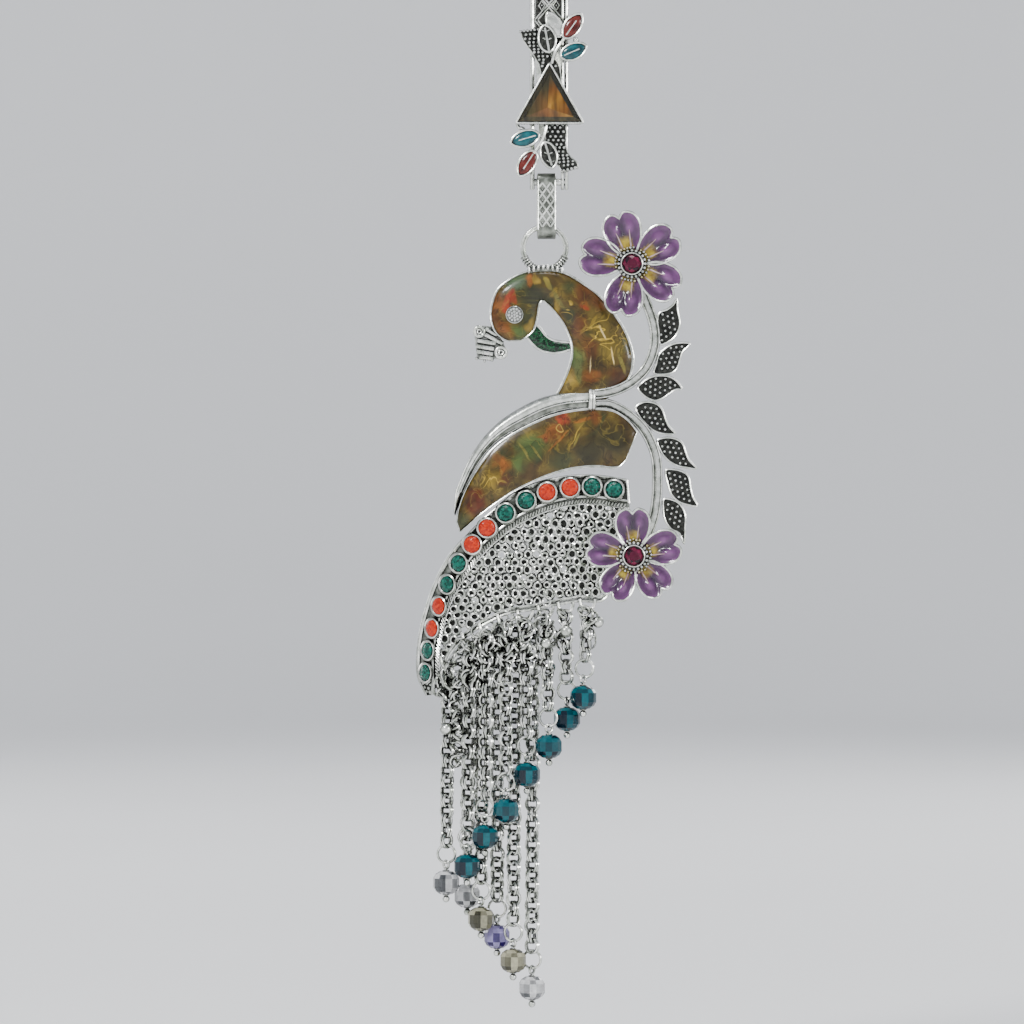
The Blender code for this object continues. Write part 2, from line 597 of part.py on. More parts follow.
def body_frame():
    ring_z = RING_AXIS[2] - RING_RADIUS
    trays = (  # rows, front, wall, recess depth
        (NECK_ROWS, NECK_FRONT, WALL, BACK - NECK_FRONT - NECK_FLOOR),
        (WING_ROWS, NECK_FRONT, WALL, WING_RECESS),
        (BEAK_ROWS, BEAK_FRONT, BEAK_WALL, BEAK_RECESS),
    )
    pieces, recesses = [], []
    for rows, front, wall, depth in trays:
        pieces.append(plate([rows_outline(rows)], BACK, front))
        recesses.append(plate([rows_outline(inset_rows(rows, wall))], front + depth, front - 1))
    for bx, bz, tx, tz, half_width, bow in SPRAY_LEAVES:
        leaf, recess = leaf_shapes((bx, bz), (tx, tz), half_width, SPRAY_BACK, SPRAY_FRONT, bow)
        pieces.append(leaf)
        recesses.append(recess)
    frame = combined([combined(pieces, solver=SOLVER), *recesses], "DIFFERENCE", SOLVER)
    added = [domed(rows_outline(BRANCH_ROWS), BACK + 0.1, BRANCH_FRONT, [BRANCH_EDGE])]
    for fork in (UPPER_FORK, LOWER_FORK):
        added.append(wire([(x, FORK_Y, z) for x, z in fork], FORK_RADIUS))
    collar = drum(COLLAR_RADIUS, COLLAR_HALF_HEIGHT, -COLLAR_HALF_HEIGHT)
    added.append(turned(collar, 8, COLLAR, False))
    added.append(torus((RING_AXIS[0], RING_AXIS[1], ring_z), RING_RADIUS, RING_WIRE, 0, 24, 6))
    added.append(domed(FOOT, BACK, FOOT_FRONT, [FOOT_EDGE]))
    added.append(turned(drum(EYE_POST_RADIUS, *EYE_POST), 10, (EYE[0], EYE_Y, EYE[1])))
    return swept(combined([frame, *added, *crest()], solver=SOLVER), FOLDS)


def crest():
    """Two coiled loops with rows of scrolled wire between them, on a short post."""
    pieces = [torus((x, CREST_Y, z), radius, CREST_COIL_WIRE, 0) for x, z, radius in CREST_COILS]
    for ax, az, bx, bz in CREST_ROWS:
        pieces.append(wire([(ax, CREST_Y, az), (bx, CREST_Y, bz)], CREST_ROW_WIRE))
    pieces.append(wire([(-12.9, -3.0, -76.0), (-13.9, -3.0, -80.4)], CREST_EDGE_WIRE))
    post = [(-10.2, -3.0, -75.6), (-12.4, -3.0, -78.3), (-12.2, -3.0, -80.3)]
    pieces.append(wire(post, CREST_ROW_WIRE))
    return pieces


def neck_enamel():
    outline = rows_outline(inset_rows(NECK_ROWS[:-1], WALL + GAP))
    back = BACK - NECK_FLOOR - GAP
    dome = domed(outline, back, NECK_FRONT, [(0.35, 0.45), (0.8, 0.35)])
    seat = turned(drum(EYE_SEAT, 4, -4), 10, (EYE[0], EYE_Y, EYE[1]))
    return swept(combined([dome, seat], "DIFFERENCE"))


def wing_enamel():
    outline = rows_outline(inset_rows(WING_ROWS, WALL + GAP))
    return swept(domed(outline, NECK_FRONT + WING_RECESS - GAP, NECK_FRONT, [(0.35, 0.4)]), FOLDS)


def beak_enamel():
    outline = rows_outline(inset_rows(BEAK_ROWS, BEAK_WALL + GAP))
    back = BEAK_FRONT + BEAK_RECESS - GAP
    return domed(outline, back, BEAK_FRONT - 0.2, [(0.15, 0.15)])


def cut_stone(x, y, z, radius, squeeze=1.0, sides=8):
    """A round stone: pavilion, girdle, crown facets and table."""
    profile = [(0, -PAVILION), (radius, 0), (radius, 0.2), (radius * 0.6, CROWN), (0, CROWN)]
    return turned(profile, sides, (x, y, z), squeeze=squeeze)


def petal_plates(flower, back, front, shrink=0.0):
    """Five petals, each tilted forward towards its tip."""
    _, x, z, scale, turn = flower
    petals = []
    for petal in range(5):
        obj = plate([petal_outline(flower, petal, shrink)], back, front)
        angle = math.radians(turn - 72 * petal)
        for vert in obj.data.vertices:
            along = (vert.co.x - x) * math.cos(angle) + (vert.co.z - z) * math.sin(angle)
            vert.co.y -= FLOWER_CUP * (along / (11 * scale) - 0.3)
        petals.append(obj)
    return petals


def drum(radius, low, high):
    """The profile of a solid cylinder about its axis."""
    return [(0, low), (radius, low), (radius, high), (0, high)]


def disc(radius, back, front, x, z, inner=0.0):
    profile = [(inner, 0), (radius, 0), (radius, back - front), (inner, back - front)]
    return turned(profile, 12, (x, back, z))


def flower_cup(flower):
    """The cup with its petals' rims and the stone's bezel."""
    _, x, z, scale, _ = flower
    front = FLOWER_BACK - FLOWER_THICKNESS
    floor = front + FLOWER_DEPTH
    whole = combined([disc(HEART * scale, FLOWER_BACK + 0.1, floor - 0.2, x, z),
                      *petal_plates(flower, FLOWER_BACK, front)])
    recesses = petal_plates(flower, floor, front - 2, PETAL_WALL)
    recesses.append(disc(HEART_RECESS * scale, floor - 0.03, front - 2, x, z))
    bezel = disc(BEZEL_RADIUS, FLOWER_BACK - BEZEL_BACK, FLOWER_BACK - BEZEL_RISE, x, z, BEZEL_HOLE)
    return combined([combined([whole, *recesses], "DIFFERENCE"), bezel])


def flower_enamel(flower):
    _, x, z, scale, _ = flower
    front = FLOWER_BACK - FLOWER_THICKNESS
    back = front + FLOWER_DEPTH - GAP
    petals = petal_plates(flower, back, front - 0.1, PETAL_WALL + GAP)
    ring = disc(HEART_ENAMEL * scale, back, front, x, z)
    centre = disc(BEZEL_RADIUS + GAP, back + 3, front - 3, x, z)
    return combined([combined([ring, *petals]), centre], "DIFFERENCE")


def tail_outline():
    outer = [row[:2] for row in BAND_ROWS]
    return outer + [BAND_ROWS[-1][2:]] + list(TAIL_LOWER[::-1]) + [BAND_ROWS[0][2:]]


def filigree_holes():
    """Six-sided gaps on a triangular grid, inside the rope border and the free edge."""
    net = [row[2:] for row in BAND_ROWS[:-1]] + list(TAIL_LOWER[::-1])
    holes = []
    for row in range(GRID_COUNT):
        grid_z = GRID_TOP - row * HOLE_PITCH * math.sqrt(3) / 2
        for column in range(GRID_COUNT):
            x = GRID_LEFT + (column + 0.5 * (row % 2)) * HOLE_PITCH
            x, z = Matrix.Rotation(GRID_TURN, 2) @ Vector((x, grid_z))
            if inside_by((x, z), net) < HOLE_RADIUS + HOLE_MARGIN:
                continue
            corners = [math.pi * (k + 0.5) / 3 + GRID_TURN for k in range(6)]
            holes.append([(x + HOLE_RADIUS * math.cos(a), z + HOLE_RADIUS * math.sin(a))
                          for a in corners])
    return holes


def tail_frame():
    net = plate([tail_outline(), *filigree_holes()], BACK, TAIL_FRONT)
    band = plate([rows_outline(BAND_ROWS)], BACK - 0.2, BAND_FRONT)
    rope = wire([(x, TAIL_FRONT - 0.2, z) for _, _, x, z in BAND_ROWS], ROPE_RADIUS)
    collets = []
    seats = []
    for x, z, _ in BAND_STONES:
        squeeze = foreshortening(x)
        outer = [(0, COLLET_BACK), (COLLET_RADIUS - 0.25, COLLET_BACK),
                 (COLLET_RADIUS, -COLLET_RISE), (0, -COLLET_RISE)]
        collets.append(turned(outer, 8, (x, BAND_FRONT + 0.2, z), squeeze=squeeze))
        seat = STONE_RADIUS + GAP * 0.8
        seats.append(turned(drum(seat, 2, 0), 8, (x, BAND_FRONT + 0.1, z), squeeze=squeeze))
    joined = combined([net, band, rope, *collets], solver=SOLVER)
    whole = swept(combined([joined, *seats], "DIFFERENCE", SOLVER))
    loops = [(x, z) for x, z, *_ in FRONT_STRANDS]
    rings = [torus((x, FRONT_TOP_Y + sweep_back(x), z), LOOP_RADIUS, LOOP_WIRE, 0)
             for x, z in loops]
    return combined([whole, *rings], solver=SOLVER)


def band_stone(x, z):
    squeeze = foreshortening(x)
    return swept(cut_stone(x, BAND_FRONT + 0.1 - GAP - PAVILION, z, STONE_RADIUS, squeeze))


def strand_line(strand, top_y):
    """Where the strand hangs and where its bead lies."""
    tx, tz, bx, bead_y, bz, _ = strand
    lean = sweep_back(tx)
    return Vector((tx, top_y + lean, tz)), Vector((bx, bead_y + lean, bz))


def linked_strand(top, bead):
    """Round links hung through each other, a jump ring, and the bead's headpin."""
    eye_z = bead.z + BEAD_HALF_HEIGHT + GAP + EYE_RADIUS + PIN_WIRE
    jump_z = eye_z + EYE_RADIUS + JUMP_RADIUS - LINK_OVERLAP
    first_z = top.z - LOOP_RADIUS - LINK_RADIUS + LOOP_WIRE + LINK_WIRE + 0.12
    last_z = jump_z + JUMP_RADIUS + LINK_RADIUS - LINK_OVERLAP
    count = max(1, round((first_z - last_z) / LINK_PITCH))
    pieces = []

    def at(z):
        share = (top.z - z) / (top.z - bead.z)
        return (top.x + (bead.x - top.x) * share, top.y + (bead.y - top.y) * share, z)

    turns = (math.pi / 2, 0)
    for index in range(count + 1):
        z = first_z + (last_z - first_z) * index / count
        pieces.append(torus(at(z), LINK_RADIUS, LINK_WIRE, turns[index % 2]))
    pieces.append(torus(at(jump_z), JUMP_RADIUS, LINK_WIRE, turns[(count + 1) % 2]))
    pieces.append(torus((bead.x, bead.y, eye_z), EYE_RADIUS, LINK_WIRE, turns[count % 2]))
    pieces.append(headpin(bead, eye_z - EYE_RADIUS))
    return combined(pieces)


def headpin(bead, top_z):
    """The pin through the bead, with a ball under it."""
    ball_z = bead.z - BEAD_HALF_HEIGHT - GAP - PIN_BALL
    profile = [(0, top_z - ball_z), (PIN_WIRE, top_z - ball_z), (PIN_WIRE, PIN_BALL - 0.05),
               (PIN_BALL * 0.72, PIN_BALL * 0.6), (PIN_BALL, 0), (PIN_BALL * 0.6, -PIN_BALL * 0.75),
               (0, -PIN_BALL)]
    return turned(profile, 6, (bead.x, bead.y, ball_z), False)


def tube_strand(top, bead, stop_z):
    """The strand as a plain tube, narrowed to its headpin and swelling to the ball."""
    above = bead.z + BEAD_HALF_HEIGHT + GAP
    below = bead.z - BEAD_HALF_HEIGHT - GAP
    points = [tuple(top.xy) + (stop_z,), (bead.x, bead.y, above + 0.4)]
    radii = [1, 1]
    thin, ball = PIN_WIRE / STRAND_TUBE, PIN_BALL / STRAND_TUBE
    for z, radius in ((above, thin), (below, thin), (below - 0.3, ball), (below - 1.2, ball),
                      (below - 1.6, ball * 0.4)):
        points.append((bead.x, bead.y, z))
        radii.append(radius)
    return wire(points, STRAND_TUBE, radii=radii)


def bead_solid(place):
    """A drilled, faceted double cone."""
    half = BEAD_HALF_HEIGHT
    profile = [(PIN_HOLE, half), (BEAD_END, half), (BEAD_RADIUS, 0), (BEAD_END, -half),
               (PIN_HOLE, -half)]
    return turned(profile, 8, place, False)


clear_scene()
parts = new_collection("hair_bun_pin")
silver = material("oxidised_silver", SILVER, 0.3, 1.0)
bail_pivot = pivot_empty("bail_pivot", BAIL_AXIS)
pendant_pivot = pivot_empty("pendant_pivot", RING_AXIS)
looks = {
    "emerald": material("emerald", (0.0, 0.12, 0.07), 0.08),
    "coral": material("coral", (0.75, 0.09, 0.03), 0.12),
    "teal": material("teal_glass", (0.02, 0.22, 0.28), 0.05),
    "clear": material("clear_glass", (0.75, 0.75, 0.74), 0.05),
    "smoky": material("smoky_glass", (0.4, 0.38, 0.33), 0.05),
    "violet": material("violet_glass", (0.3, 0.22, 0.45), 0.05),
}
marbled = material("marbled_enamel", (0.3, 0.17, 0.03), 0.1)
purple = material("purple_enamel", (0.2, 0.06, 0.25), 0.15)
garnet = material("garnet", (0.12, 0.0, 0.03), 0.05)

finish(hook_bar(), "hook_bar", silver)
finish(triangle_stone(), "triangle_stone", material("amber", (0.3, 0.11, 0.01), 0.06), None, False)
for leaf, base_x, base_z, tip_x, tip_z, half, front_y, colour in MOTIF_LEAVES:
    if colour:
        enamel = leaf_enamel((base_x, base_z), (tip_x, tip_z), half, front_y)
        finish(enamel, leaf + "_enamel", material(leaf + "_enamel", colour, 0.12))
finish(bail(), "bail", silver, bail_pivot)
finish(body_frame(), "body_frame", silver, pendant_pivot)
finish(neck_enamel(), "neck_enamel", marbled, pendant_pivot)
finish(wing_enamel(), "wing_enamel", marbled, pendant_pivot)
finish(beak_enamel(), "beak_enamel", material("beak_enamel", (0.0, 0.08, 0.02), 0.1), pendant_pivot)
eye = cut_stone(EYE[0], EYE_Y - EYE_POST[0] - GAP - PAVILION, EYE[1], EYE_STONE)
finish(eye, "eye_stone", looks["clear"], pendant_pivot, False)
for flower in FLOWERS:
    finish(flower_cup(flower), flower[0], silver, pendant_pivot)
    finish(flower_enamel(flower), flower[0] + "_enamel", purple, pendant_pivot)
    gem = cut_stone(flower[1], FLOWER_BACK - 1.35, flower[2], BEZEL_HOLE - GAP)
    finish(gem, flower[0] + "_stone", garnet, pendant_pivot, False)
finish(tail_frame(), "tail_frame", silver, pendant_pivot)
for number, (stone_x, stone_z, stone_colour) in enumerate(BAND_STONES, 1):
    gem = band_stone(stone_x, stone_z)
    finish(gem, f"band_stone_{number:02d}", looks[stone_colour], pendant_pivot, False)
for side, strands, top_y in (("front", FRONT_STRANDS, FRONT_TOP_Y),
                             ("back", BACK_STRANDS, BACK_TOP_Y)):
    for number, strand in enumerate(strands, 1):
        hung, bead = strand_line(strand, top_y)
        if side == "front" and number <= LINK_STRANDS:
            chain = linked_strand(hung, bead)
        else:
            start = hung.z - (LOOP_RADIUS + LOOP_WIRE + GAP if side == "front" else 0)
            chain = tube_strand(hung, bead, start)
        finish(chain, f"{side}_strand_{number}", silver, pendant_pivot)
        finish(bead_solid(bead), f"{side}_bead_{number}", looks[strand[-1]], pendant_pivot, False)
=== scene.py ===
"""Dresses the hair bun pin: silver castings, enamel, set stones, chains and beads.

Shapes are drawn in millimetres in the XZ plane, front towards -Y, as in the frame,
and scaled to metres when a piece is made.
"""

import math
import random

import bmesh
import bpy
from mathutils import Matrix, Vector


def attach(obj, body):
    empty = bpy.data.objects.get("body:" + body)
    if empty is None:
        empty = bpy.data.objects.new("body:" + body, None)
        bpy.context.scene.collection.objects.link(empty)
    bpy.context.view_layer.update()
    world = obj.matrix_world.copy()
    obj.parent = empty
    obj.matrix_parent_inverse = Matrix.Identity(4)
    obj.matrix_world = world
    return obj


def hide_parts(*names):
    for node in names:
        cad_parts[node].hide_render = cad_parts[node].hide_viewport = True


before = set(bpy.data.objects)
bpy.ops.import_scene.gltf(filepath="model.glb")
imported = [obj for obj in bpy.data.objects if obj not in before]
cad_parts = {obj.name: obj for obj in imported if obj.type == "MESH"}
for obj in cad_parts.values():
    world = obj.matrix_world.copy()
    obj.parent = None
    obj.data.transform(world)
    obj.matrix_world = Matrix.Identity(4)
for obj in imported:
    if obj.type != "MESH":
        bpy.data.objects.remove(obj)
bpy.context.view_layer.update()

MM = 0.001
TAU = 2 * math.pi
random.seed(7)

# The same places and sizes as the frame's
BACK = -2.1
BAR_FRONT, BAR_BACK, BAR_END = -3.4, -2.4, -47.0
HOOK_RADIUS, PRONG_THICKNESS, PRONG_END, PLATE_END = 2.4, 0.9, -40.0, -18.4
BAIL_AXIS = Vector((-0.5, -2.9, -45.4))
BAIL_BOTTOM, BAIL_INNER, BAIL_STRIP, BAIL_HALF_WIDTH = -56.2, 1.2, 0.6, 1.9
RING_CENTRE, RING_RADIUS, RING_WIRE = Vector((-0.9, -2.9, -58.6)), 4.3, 0.6
SWEEP_START, SWEEP = -13.0, 0.048
LOOP_RADIUS = 1.25
LINK_RADIUS, LINK_WIRE, LINK_PITCH = 1.34, 0.27, 2.04
DOUBLE_LINK, JUMP_RADIUS = 0.28, 1.8
BEAD_RADIUS, BEAD_HALF_HEIGHT = 2.7, 2.3
FRONT_TOP_Y, BACK_TOP_Y = -3.2, -1.0

NECK_ROWS = (  # outer x, outer z, inner x, inner z, from the cheek to the branch
    (-8.0, -77.2, -5.6, -77.1), (-9.6, -76.5, -4.2, -76.2), (-11.1, -74.8, -2.9, -74.8),
    (-11.8, -71.8, -2.2, -72.4), (-10.8, -67.6, -1.9, -70.2), (-8.4, -65.2, -1.6, -69.4),
    (-5.0, -63.5, -1.1, -69.2), (-0.7, -62.9, -0.4, -69.8), (3.4, -63.7, 0.6, -70.8),
    (7.0, -65.8, 1.7, -72.2), (10.2, -68.2, 2.8, -73.8), (13.0, -71.6, 3.8, -76.0),
    (15.2, -75.0, 4.4, -78.0), (16.6, -78.6, 4.4, -80.4), (16.9, -81.8, 3.7, -83.0),
    (15.8, -85.0, 2.7, -85.4), (11.4, -89.0, 0.8, -89.2),
)
WING_ROWS = (  # upper x, upper z, lower x, lower z, from the tail tip to the shoulder
    (-18.5, -113.4, -17.8, -115.4), (-18.1, -110.8, -16.0, -113.9),
    (-17.0, -107.65, -14.2, -112.3), (-15.5, -104.65, -12.0, -110.6),
    (-13.6, -101.65, -9.6, -108.9), (-11.2, -98.65, -7.0, -107.3),
    (-7.8, -96.05, -4.0, -105.8), (-3.8, -93.85, -0.8, -104.4),
    (0.4, -92.05, 2.6, -103.3), (4.6, -91.05, 6.2, -102.6), (8.8, -90.65, 9.8, -102.4),
    (12.8, -91.05, 12.4, -102.7), (15.8, -93.0, 14.0, -102.4), (17.6, -95.4, 15.4, -101.0),
)
BRANCH_ROWS = (  # outer x, outer z, inner x, inner z, from the tip to the collar
    (-19.1, -111.4, -18.8, -112.2), (-18.8, -107.6, -17.4, -108.4),
    (-17.8, -104.8, -16.1, -105.4), (-16.5, -101.8, -14.6, -102.6),
    (-14.8, -98.8, -12.8, -100.0), (-12.6, -95.9, -10.6, -97.7), (-9.8, -93.2, -7.8, -95.8),
    (-6.2, -90.8, -4.5, -94.2), (-2.2, -88.8, -1.0, -92.5), (1.4, -87.8, 2.6, -91.3),
    (5.0, -87.1, 5.6, -91.0), (8.6, -86.6, 8.6, -91.0),
)
BEAK_ROWS = (  # upper x, upper z, lower x, lower z, from the cheek to the tip
    (-2.6, -73.8, -4.6, -76.2), (-1.6, -74.9, -3.2, -77.9), (-0.7, -76.1, -1.6, -79.1),
    (0.7, -77.0, 0.6, -79.6), (2.2, -77.3, 2.8, -79.4), (4.2, -77.5, 4.6, -78.8),
)
UPPER_FORK = (  # x, z along its middle, from the collar
    (8.4, -87.9), (11.4, -87.6), (14.5, -86.6), (17.4, -84.8), (19.7, -82.2), (21.0, -78.8),
    (21.2, -76.0), (20.7, -72.9), (19.5, -69.6), (17.6, -65.0),
)
LOWER_FORK = (  # likewise
    (8.4, -89.9), (11.6, -89.8), (13.8, -90.6), (16.2, -92.1), (18.6, -94.4), (20.2, -97.0),
    (21.4, -100.4), (21.7, -104.6), (21.5, -109.2), (20.6, -113.6), (18.2, -119.0),
)
SPRAY_LEAVES = (  # x, z round each leaf, from its tip
    ((25.6, -68.8), (25.7, -70.9), (26.1, -72.9), (26.1, -74.4), (25.4, -76.1),
     (24.0, -77.3), (22.3, -77.9), (21.9, -76.3), (21.7, -74.4), (21.7, -72.5),
     (22.3, -71.4), (23.6, -70.9), (24.8, -70.0)),
    ((28.2, -77.8), (26.9, -79.2), (26.3, -80.5), (25.9, -82.0), (25.2, -83.2),
     (23.6, -83.8), (21.0, -83.7), (21.4, -81.9), (21.9, -80.1), (23.1, -78.8),
     (24.8, -77.8), (26.7, -77.5)),
    ((26.6, -86.7), (25.4, -86.9), (24.0, -87.8), (22.7, -88.7), (21.0, -89.1),
     (19.1, -88.2), (17.7, -86.6), (18.7, -85.5), (20.2, -84.5), (22.1, -84.1),
     (24.0, -84.3), (25.4, -85.1)),
    ((25.2, -95.7), (23.6, -95.8), (22.1, -95.6), (20.6, -94.9), (19.1, -93.5),
     (17.9, -92.0), (17.3, -90.5), (18.7, -89.5), (20.2, -89.4), (21.7, -89.9),
     (22.7, -91.0), (23.3, -92.8), (24.0, -94.3)),
    ((29.5, -102.7), (27.5, -102.5), (25.6, -102.1), (24.0, -101.2), (22.7, -99.8),
     (21.9, -98.3), (21.7, -97.0), (23.6, -96.5), (25.4, -96.8), (26.7, -97.7),
     (27.3, -99.3), (28.0, -101.0)),
    ((29.7, -110.2), (27.9, -110.0), (25.9, -109.3), (24.5, -107.9), (23.8, -106.0),
     (23.3, -103.1), (25.2, -102.9), (27.1, -103.5), (28.0, -104.6), (28.3, -106.5),
     (28.8, -108.4)),
    ((27.0, -117.8), (26.1, -115.7), (24.4, -114.8), (23.2, -113.0), (22.8, -110.7),
     (23.0, -108.8), (24.4, -108.9), (25.8, -109.5), (26.8, -110.7), (27.3, -112.5),
     (27.2, -115.0)),
)
MOTIF_LEAVES = (  # name, base x, base z, tip x, tip z, half width, front y
    ("upper_dark", 0.1, -19.8, -1.0, -13.9, 1.7, -5.5),
    ("upper_bright", 2.4, -16.6, -0.4, -11.4, 1.4, -4.9),
    ("upper_red", 2.9, -16.9, 6.6, -11.7, 1.6, -5.3),
    ("upper_teal", 2.2, -20.6, 7.8, -18.2, 1.6, -5.5),
    ("lower_teal", -1.8, -36.0, -8.0, -37.8, 1.6, -5.5),
    ("lower_dark", -0.9, -37.4, 0.8, -43.1, 1.6, -5.5),
    ("lower_red", -2.7, -39.2, -6.2, -44.6, 1.6, -5.3),
)
LEAF_SPREAD, LEAF_BACK = 1.12, -3.7  # the spread is of the half widths
TWIGS = (  # x, y, z along each
    ((0.5, -4.9, -21.8), (1.2, -5.1, -19.6), (2.2, -5.1, -18.0), (2.9, -4.9, -16.9)),
    ((-0.4, -4.9, -33.4), (-1.0, -5.2, -36.2), (-1.7, -5.1, -37.8), (-3.0, -4.9, -39.8)),
    ((1.6, -4.7, -18.9), (2.6, -4.7, -20.3)), ((-1.1, -5.0, -36.6), (-2.2, -4.9, -36.1)),
    ((-6.4, -4.3, -33.6), (-6.0, -4.4, -34.6), (-5.2, -4.6, -34.8), (-4.9, -4.9, -35.9)),
)
TRUNK_ROWS = (  # left x, left z, right x, right z
    (-5.7, -15.4, -2.2, -15.0), (-5.2, -17.0, -1.6, -17.0), (-4.2, -18.4, -0.8, -18.4),
    (-3.0, -20.2, 0.4, -20.2), (-1.8, -22.6, 2.0, -22.6), (-1.2, -27.0, 2.6, -27.0),
    (-1.0, -34.6, 3.4, -34.6), (-0.4, -38.0, 3.4, -38.0), (0.6, -40.0, 4.0, -40.0),
    (1.8, -42.0, 5.6, -41.6), (2.6, -43.4, 5.6, -42.6),
)
TRIANGLE, TRIANGLE_DROP = ((0.1, -21.4), (-6.7, -33.4), (6.9, -33.4)), -0.4
STONE_CUP_FRONT = -6.0
EYE = Vector((-6.9, -4.1, -72.0))
FLOWERS = (  # name, x, z, scale, each petal's direction in degrees
    ("flower_upper", 16.5, -61.9, 0.96, (106, 34, -31, -103, 169)),
    ("flower_lower", 16.9, -120.2, 0.87, (92, 16, -50, -121, 168)),
)
FLOWER_BACK = -4.7
BAND_ROWS = (  # outer x, outer z, inner x, inner z, from the right end to the tail tip
    (15.6, -105.0, 16.0, -109.6), (12.0, -104.4, 12.8, -109.2), (8.9, -104.1, 9.6, -108.7),
    (5.4, -104.1, 6.2, -108.7), (2.2, -104.5, 3.2, -109.1), (-0.8, -105.1, 0.4, -109.8),
    (-3.6, -106.0, -2.2, -110.7), (-6.6, -107.4, -5.0, -112.0), (-9.8, -109.9, -7.7, -113.6),
    (-13.2, -112.9, -10.6, -115.8), (-16.0, -115.7, -13.6, -118.6),
    (-18.8, -118.6, -16.4, -122.0), (-21.1, -122.0, -18.8, -125.6),
    (-23.2, -126.4, -20.8, -129.8), (-24.8, -131.0, -22.0, -133.6),
    (-25.9, -135.2, -22.8, -138.2), (-26.5, -139.6, -23.1, -141.4),
    (-26.4, -144.6, -23.1, -145.2), (-24.6, -148.4, -23.4, -148.2),
)
BAND_STONES = (  # x, z, coral or emerald, from the right
    (13.0, -106.9, "emerald"), (8.6, -106.3, "emerald"), (4.2, -106.5, "coral"),
    (-0.4, -107.4, "coral"), (-4.6, -109.1, "emerald"), (-8.7, -111.6, "emerald"),
    (-12.4, -114.6, "coral"), (-15.4, -117.9, "coral"), (-18.2, -121.7, "emerald"),
    (-20.5, -125.9, "emerald"), (-22.2, -130.3, "coral"), (-23.6, -134.8, "coral"),
    (-24.5, -139.3, "emerald"), (-25.0, -143.8, "emerald"),
)
TAIL_LOWER = (  # x, z of the filigree's free edge, from the right
    (15.2, -112.0), (13.4, -121.0), (11.4, -128.6), (6.0, -129.2), (1.0, -130.0),
    (-4.0, -131.0), (-8.0, -131.6), (-11.6, -133.2), (-15.1, -135.2), (-18.2, -137.8),
    (-20.4, -140.8), (-22.0, -144.4),
)
FRONT_STRANDS = (  # loop x, loop z, bead x, bead y, bead z, colour
    (7.7, -129.9, 6.8, -5.1, -148.4, "teal"), (3.3, -130.5, 3.6, -3.0, -152.8, "teal"),
    (-0.7, -131.2, 0.0, -4.9, -158.2, "teal"), (-4.8, -132.1, -4.4, -4.9, -163.8, "teal"),
    (-8.8, -132.9, -8.6, -4.9, -171.0, "teal"), (-12.4, -134.6, -12.8, -4.9, -176.2, "teal"),
    (-15.8, -136.8, -16.4, -3.9, -182.2, "teal"), (-20.2, -141.4, -20.6, -4.9, -185.6, "clear"),
)
BACK_STRANDS = (  # top x, top z, bead x, bead y, bead z, colour
    (-16.2, -138.0, -16.4, 1.6, -188.6, "clear"), (-13.4, -136.0, -13.6, -0.9, -193.0, "smoky"),
    (-10.2, -134.4, -10.4, 1.6, -196.8, "violet"), (-6.8, -133.2, -7.2, -0.9, -201.4, "smoky"),
    (-3.2, -132.6, -3.4, 0.8, -207.0, "clear"),
)
SILVER_BALLS = {  # by strand: x, y, z, radius
    ("front", 1): ((9.8, -3.4, -133.4, 1.2), (8.7, -3.7, -133.2, 0.55), (7.4, -4.3, -134.0, 0.9)),
    ("front", 2): ((3.4, -4.2, -135.2, 1.35), (3.0, -4.6, -133.6, 0.6)),
    ("front", 3): ((-0.6, -4.3, -137.6, 1.25), (-0.3, -4.3, -135.9, 0.7)),
    ("front", 8): ((-20.6, -3.0, -154.8, 1.25),),
}


# Curves and meshes

def smooth(points, steps=4, closed=False):
    """Points along a Catmull-Rom curve through the given ones."""
    if closed:
        ends = [points[-1], *points, points[0], points[1]]
    else:
        ends = [points[0], *points, points[-1]]
    line = []
    for a, b, c, d in zip(ends, ends[1:], ends[2:], ends[3:]):
        for step in range(steps):
            t = step / steps
            line.append(tuple(
                0.5 * (2 * q + (r - p) * t + (2 * p - 5 * q + 4 * r - s) * t * t
                       + (3 * q - p - 3 * r + s) * t ** 3)
                for p, q, r, s in zip(a, b, c, d)
            ))
    return line if closed else line + [tuple(points[-1])]


def flat(points, y):
    """(x, z) points stood up at one depth."""
    return [(x, y, z) for x, z in points]


def angles(sides, twist=0):
    """The directions of equal steps round a circle, all turned by a share of a step."""
    return [TAU * (k + twist) / sides for k in range(sides)]


def half_turn(steps):
    """The directions from 0 to 180 degrees, both ends counted."""
    return [math.pi * k / steps for k in range(steps + 1)]


def round_at(x, y, z, radius, angle):
    """A point on an upright circle that faces the front."""
    return x + radius * math.cos(angle), y, z + radius * math.sin(angle)


def clamped(value):
    """A value kept between 0 and 1."""
    return max(0.0, min(1.0, value))


def level(y):
    """A strip's flat front."""
    return (0, y), (1, y)


def section(row, back, profile):
    """Across a strip: its back corners, and between them (share across, y) over its front."""
    ax, az, bx, bz = row
    front = [(ax + (bx - ax) * share, y, az + (bz - az) * share) for share, y in profile]
    return [(ax, back, az), *front, (bx, back, bz)]


def edge_line(rows, share, y):
    """A line along a strip, at a share of the way from its first edge to its second."""
    return [section(row, y, ((share, y),))[1] for row in rows]


def part_of(rows, first, last):
    """The rows of a strip's part, between two shares of its width."""
    return [(ax, az, bx, bz) for (ax, _, az), (bx, _, bz)
            in zip(edge_line(rows, first, 0), edge_line(rows, last, 0))]


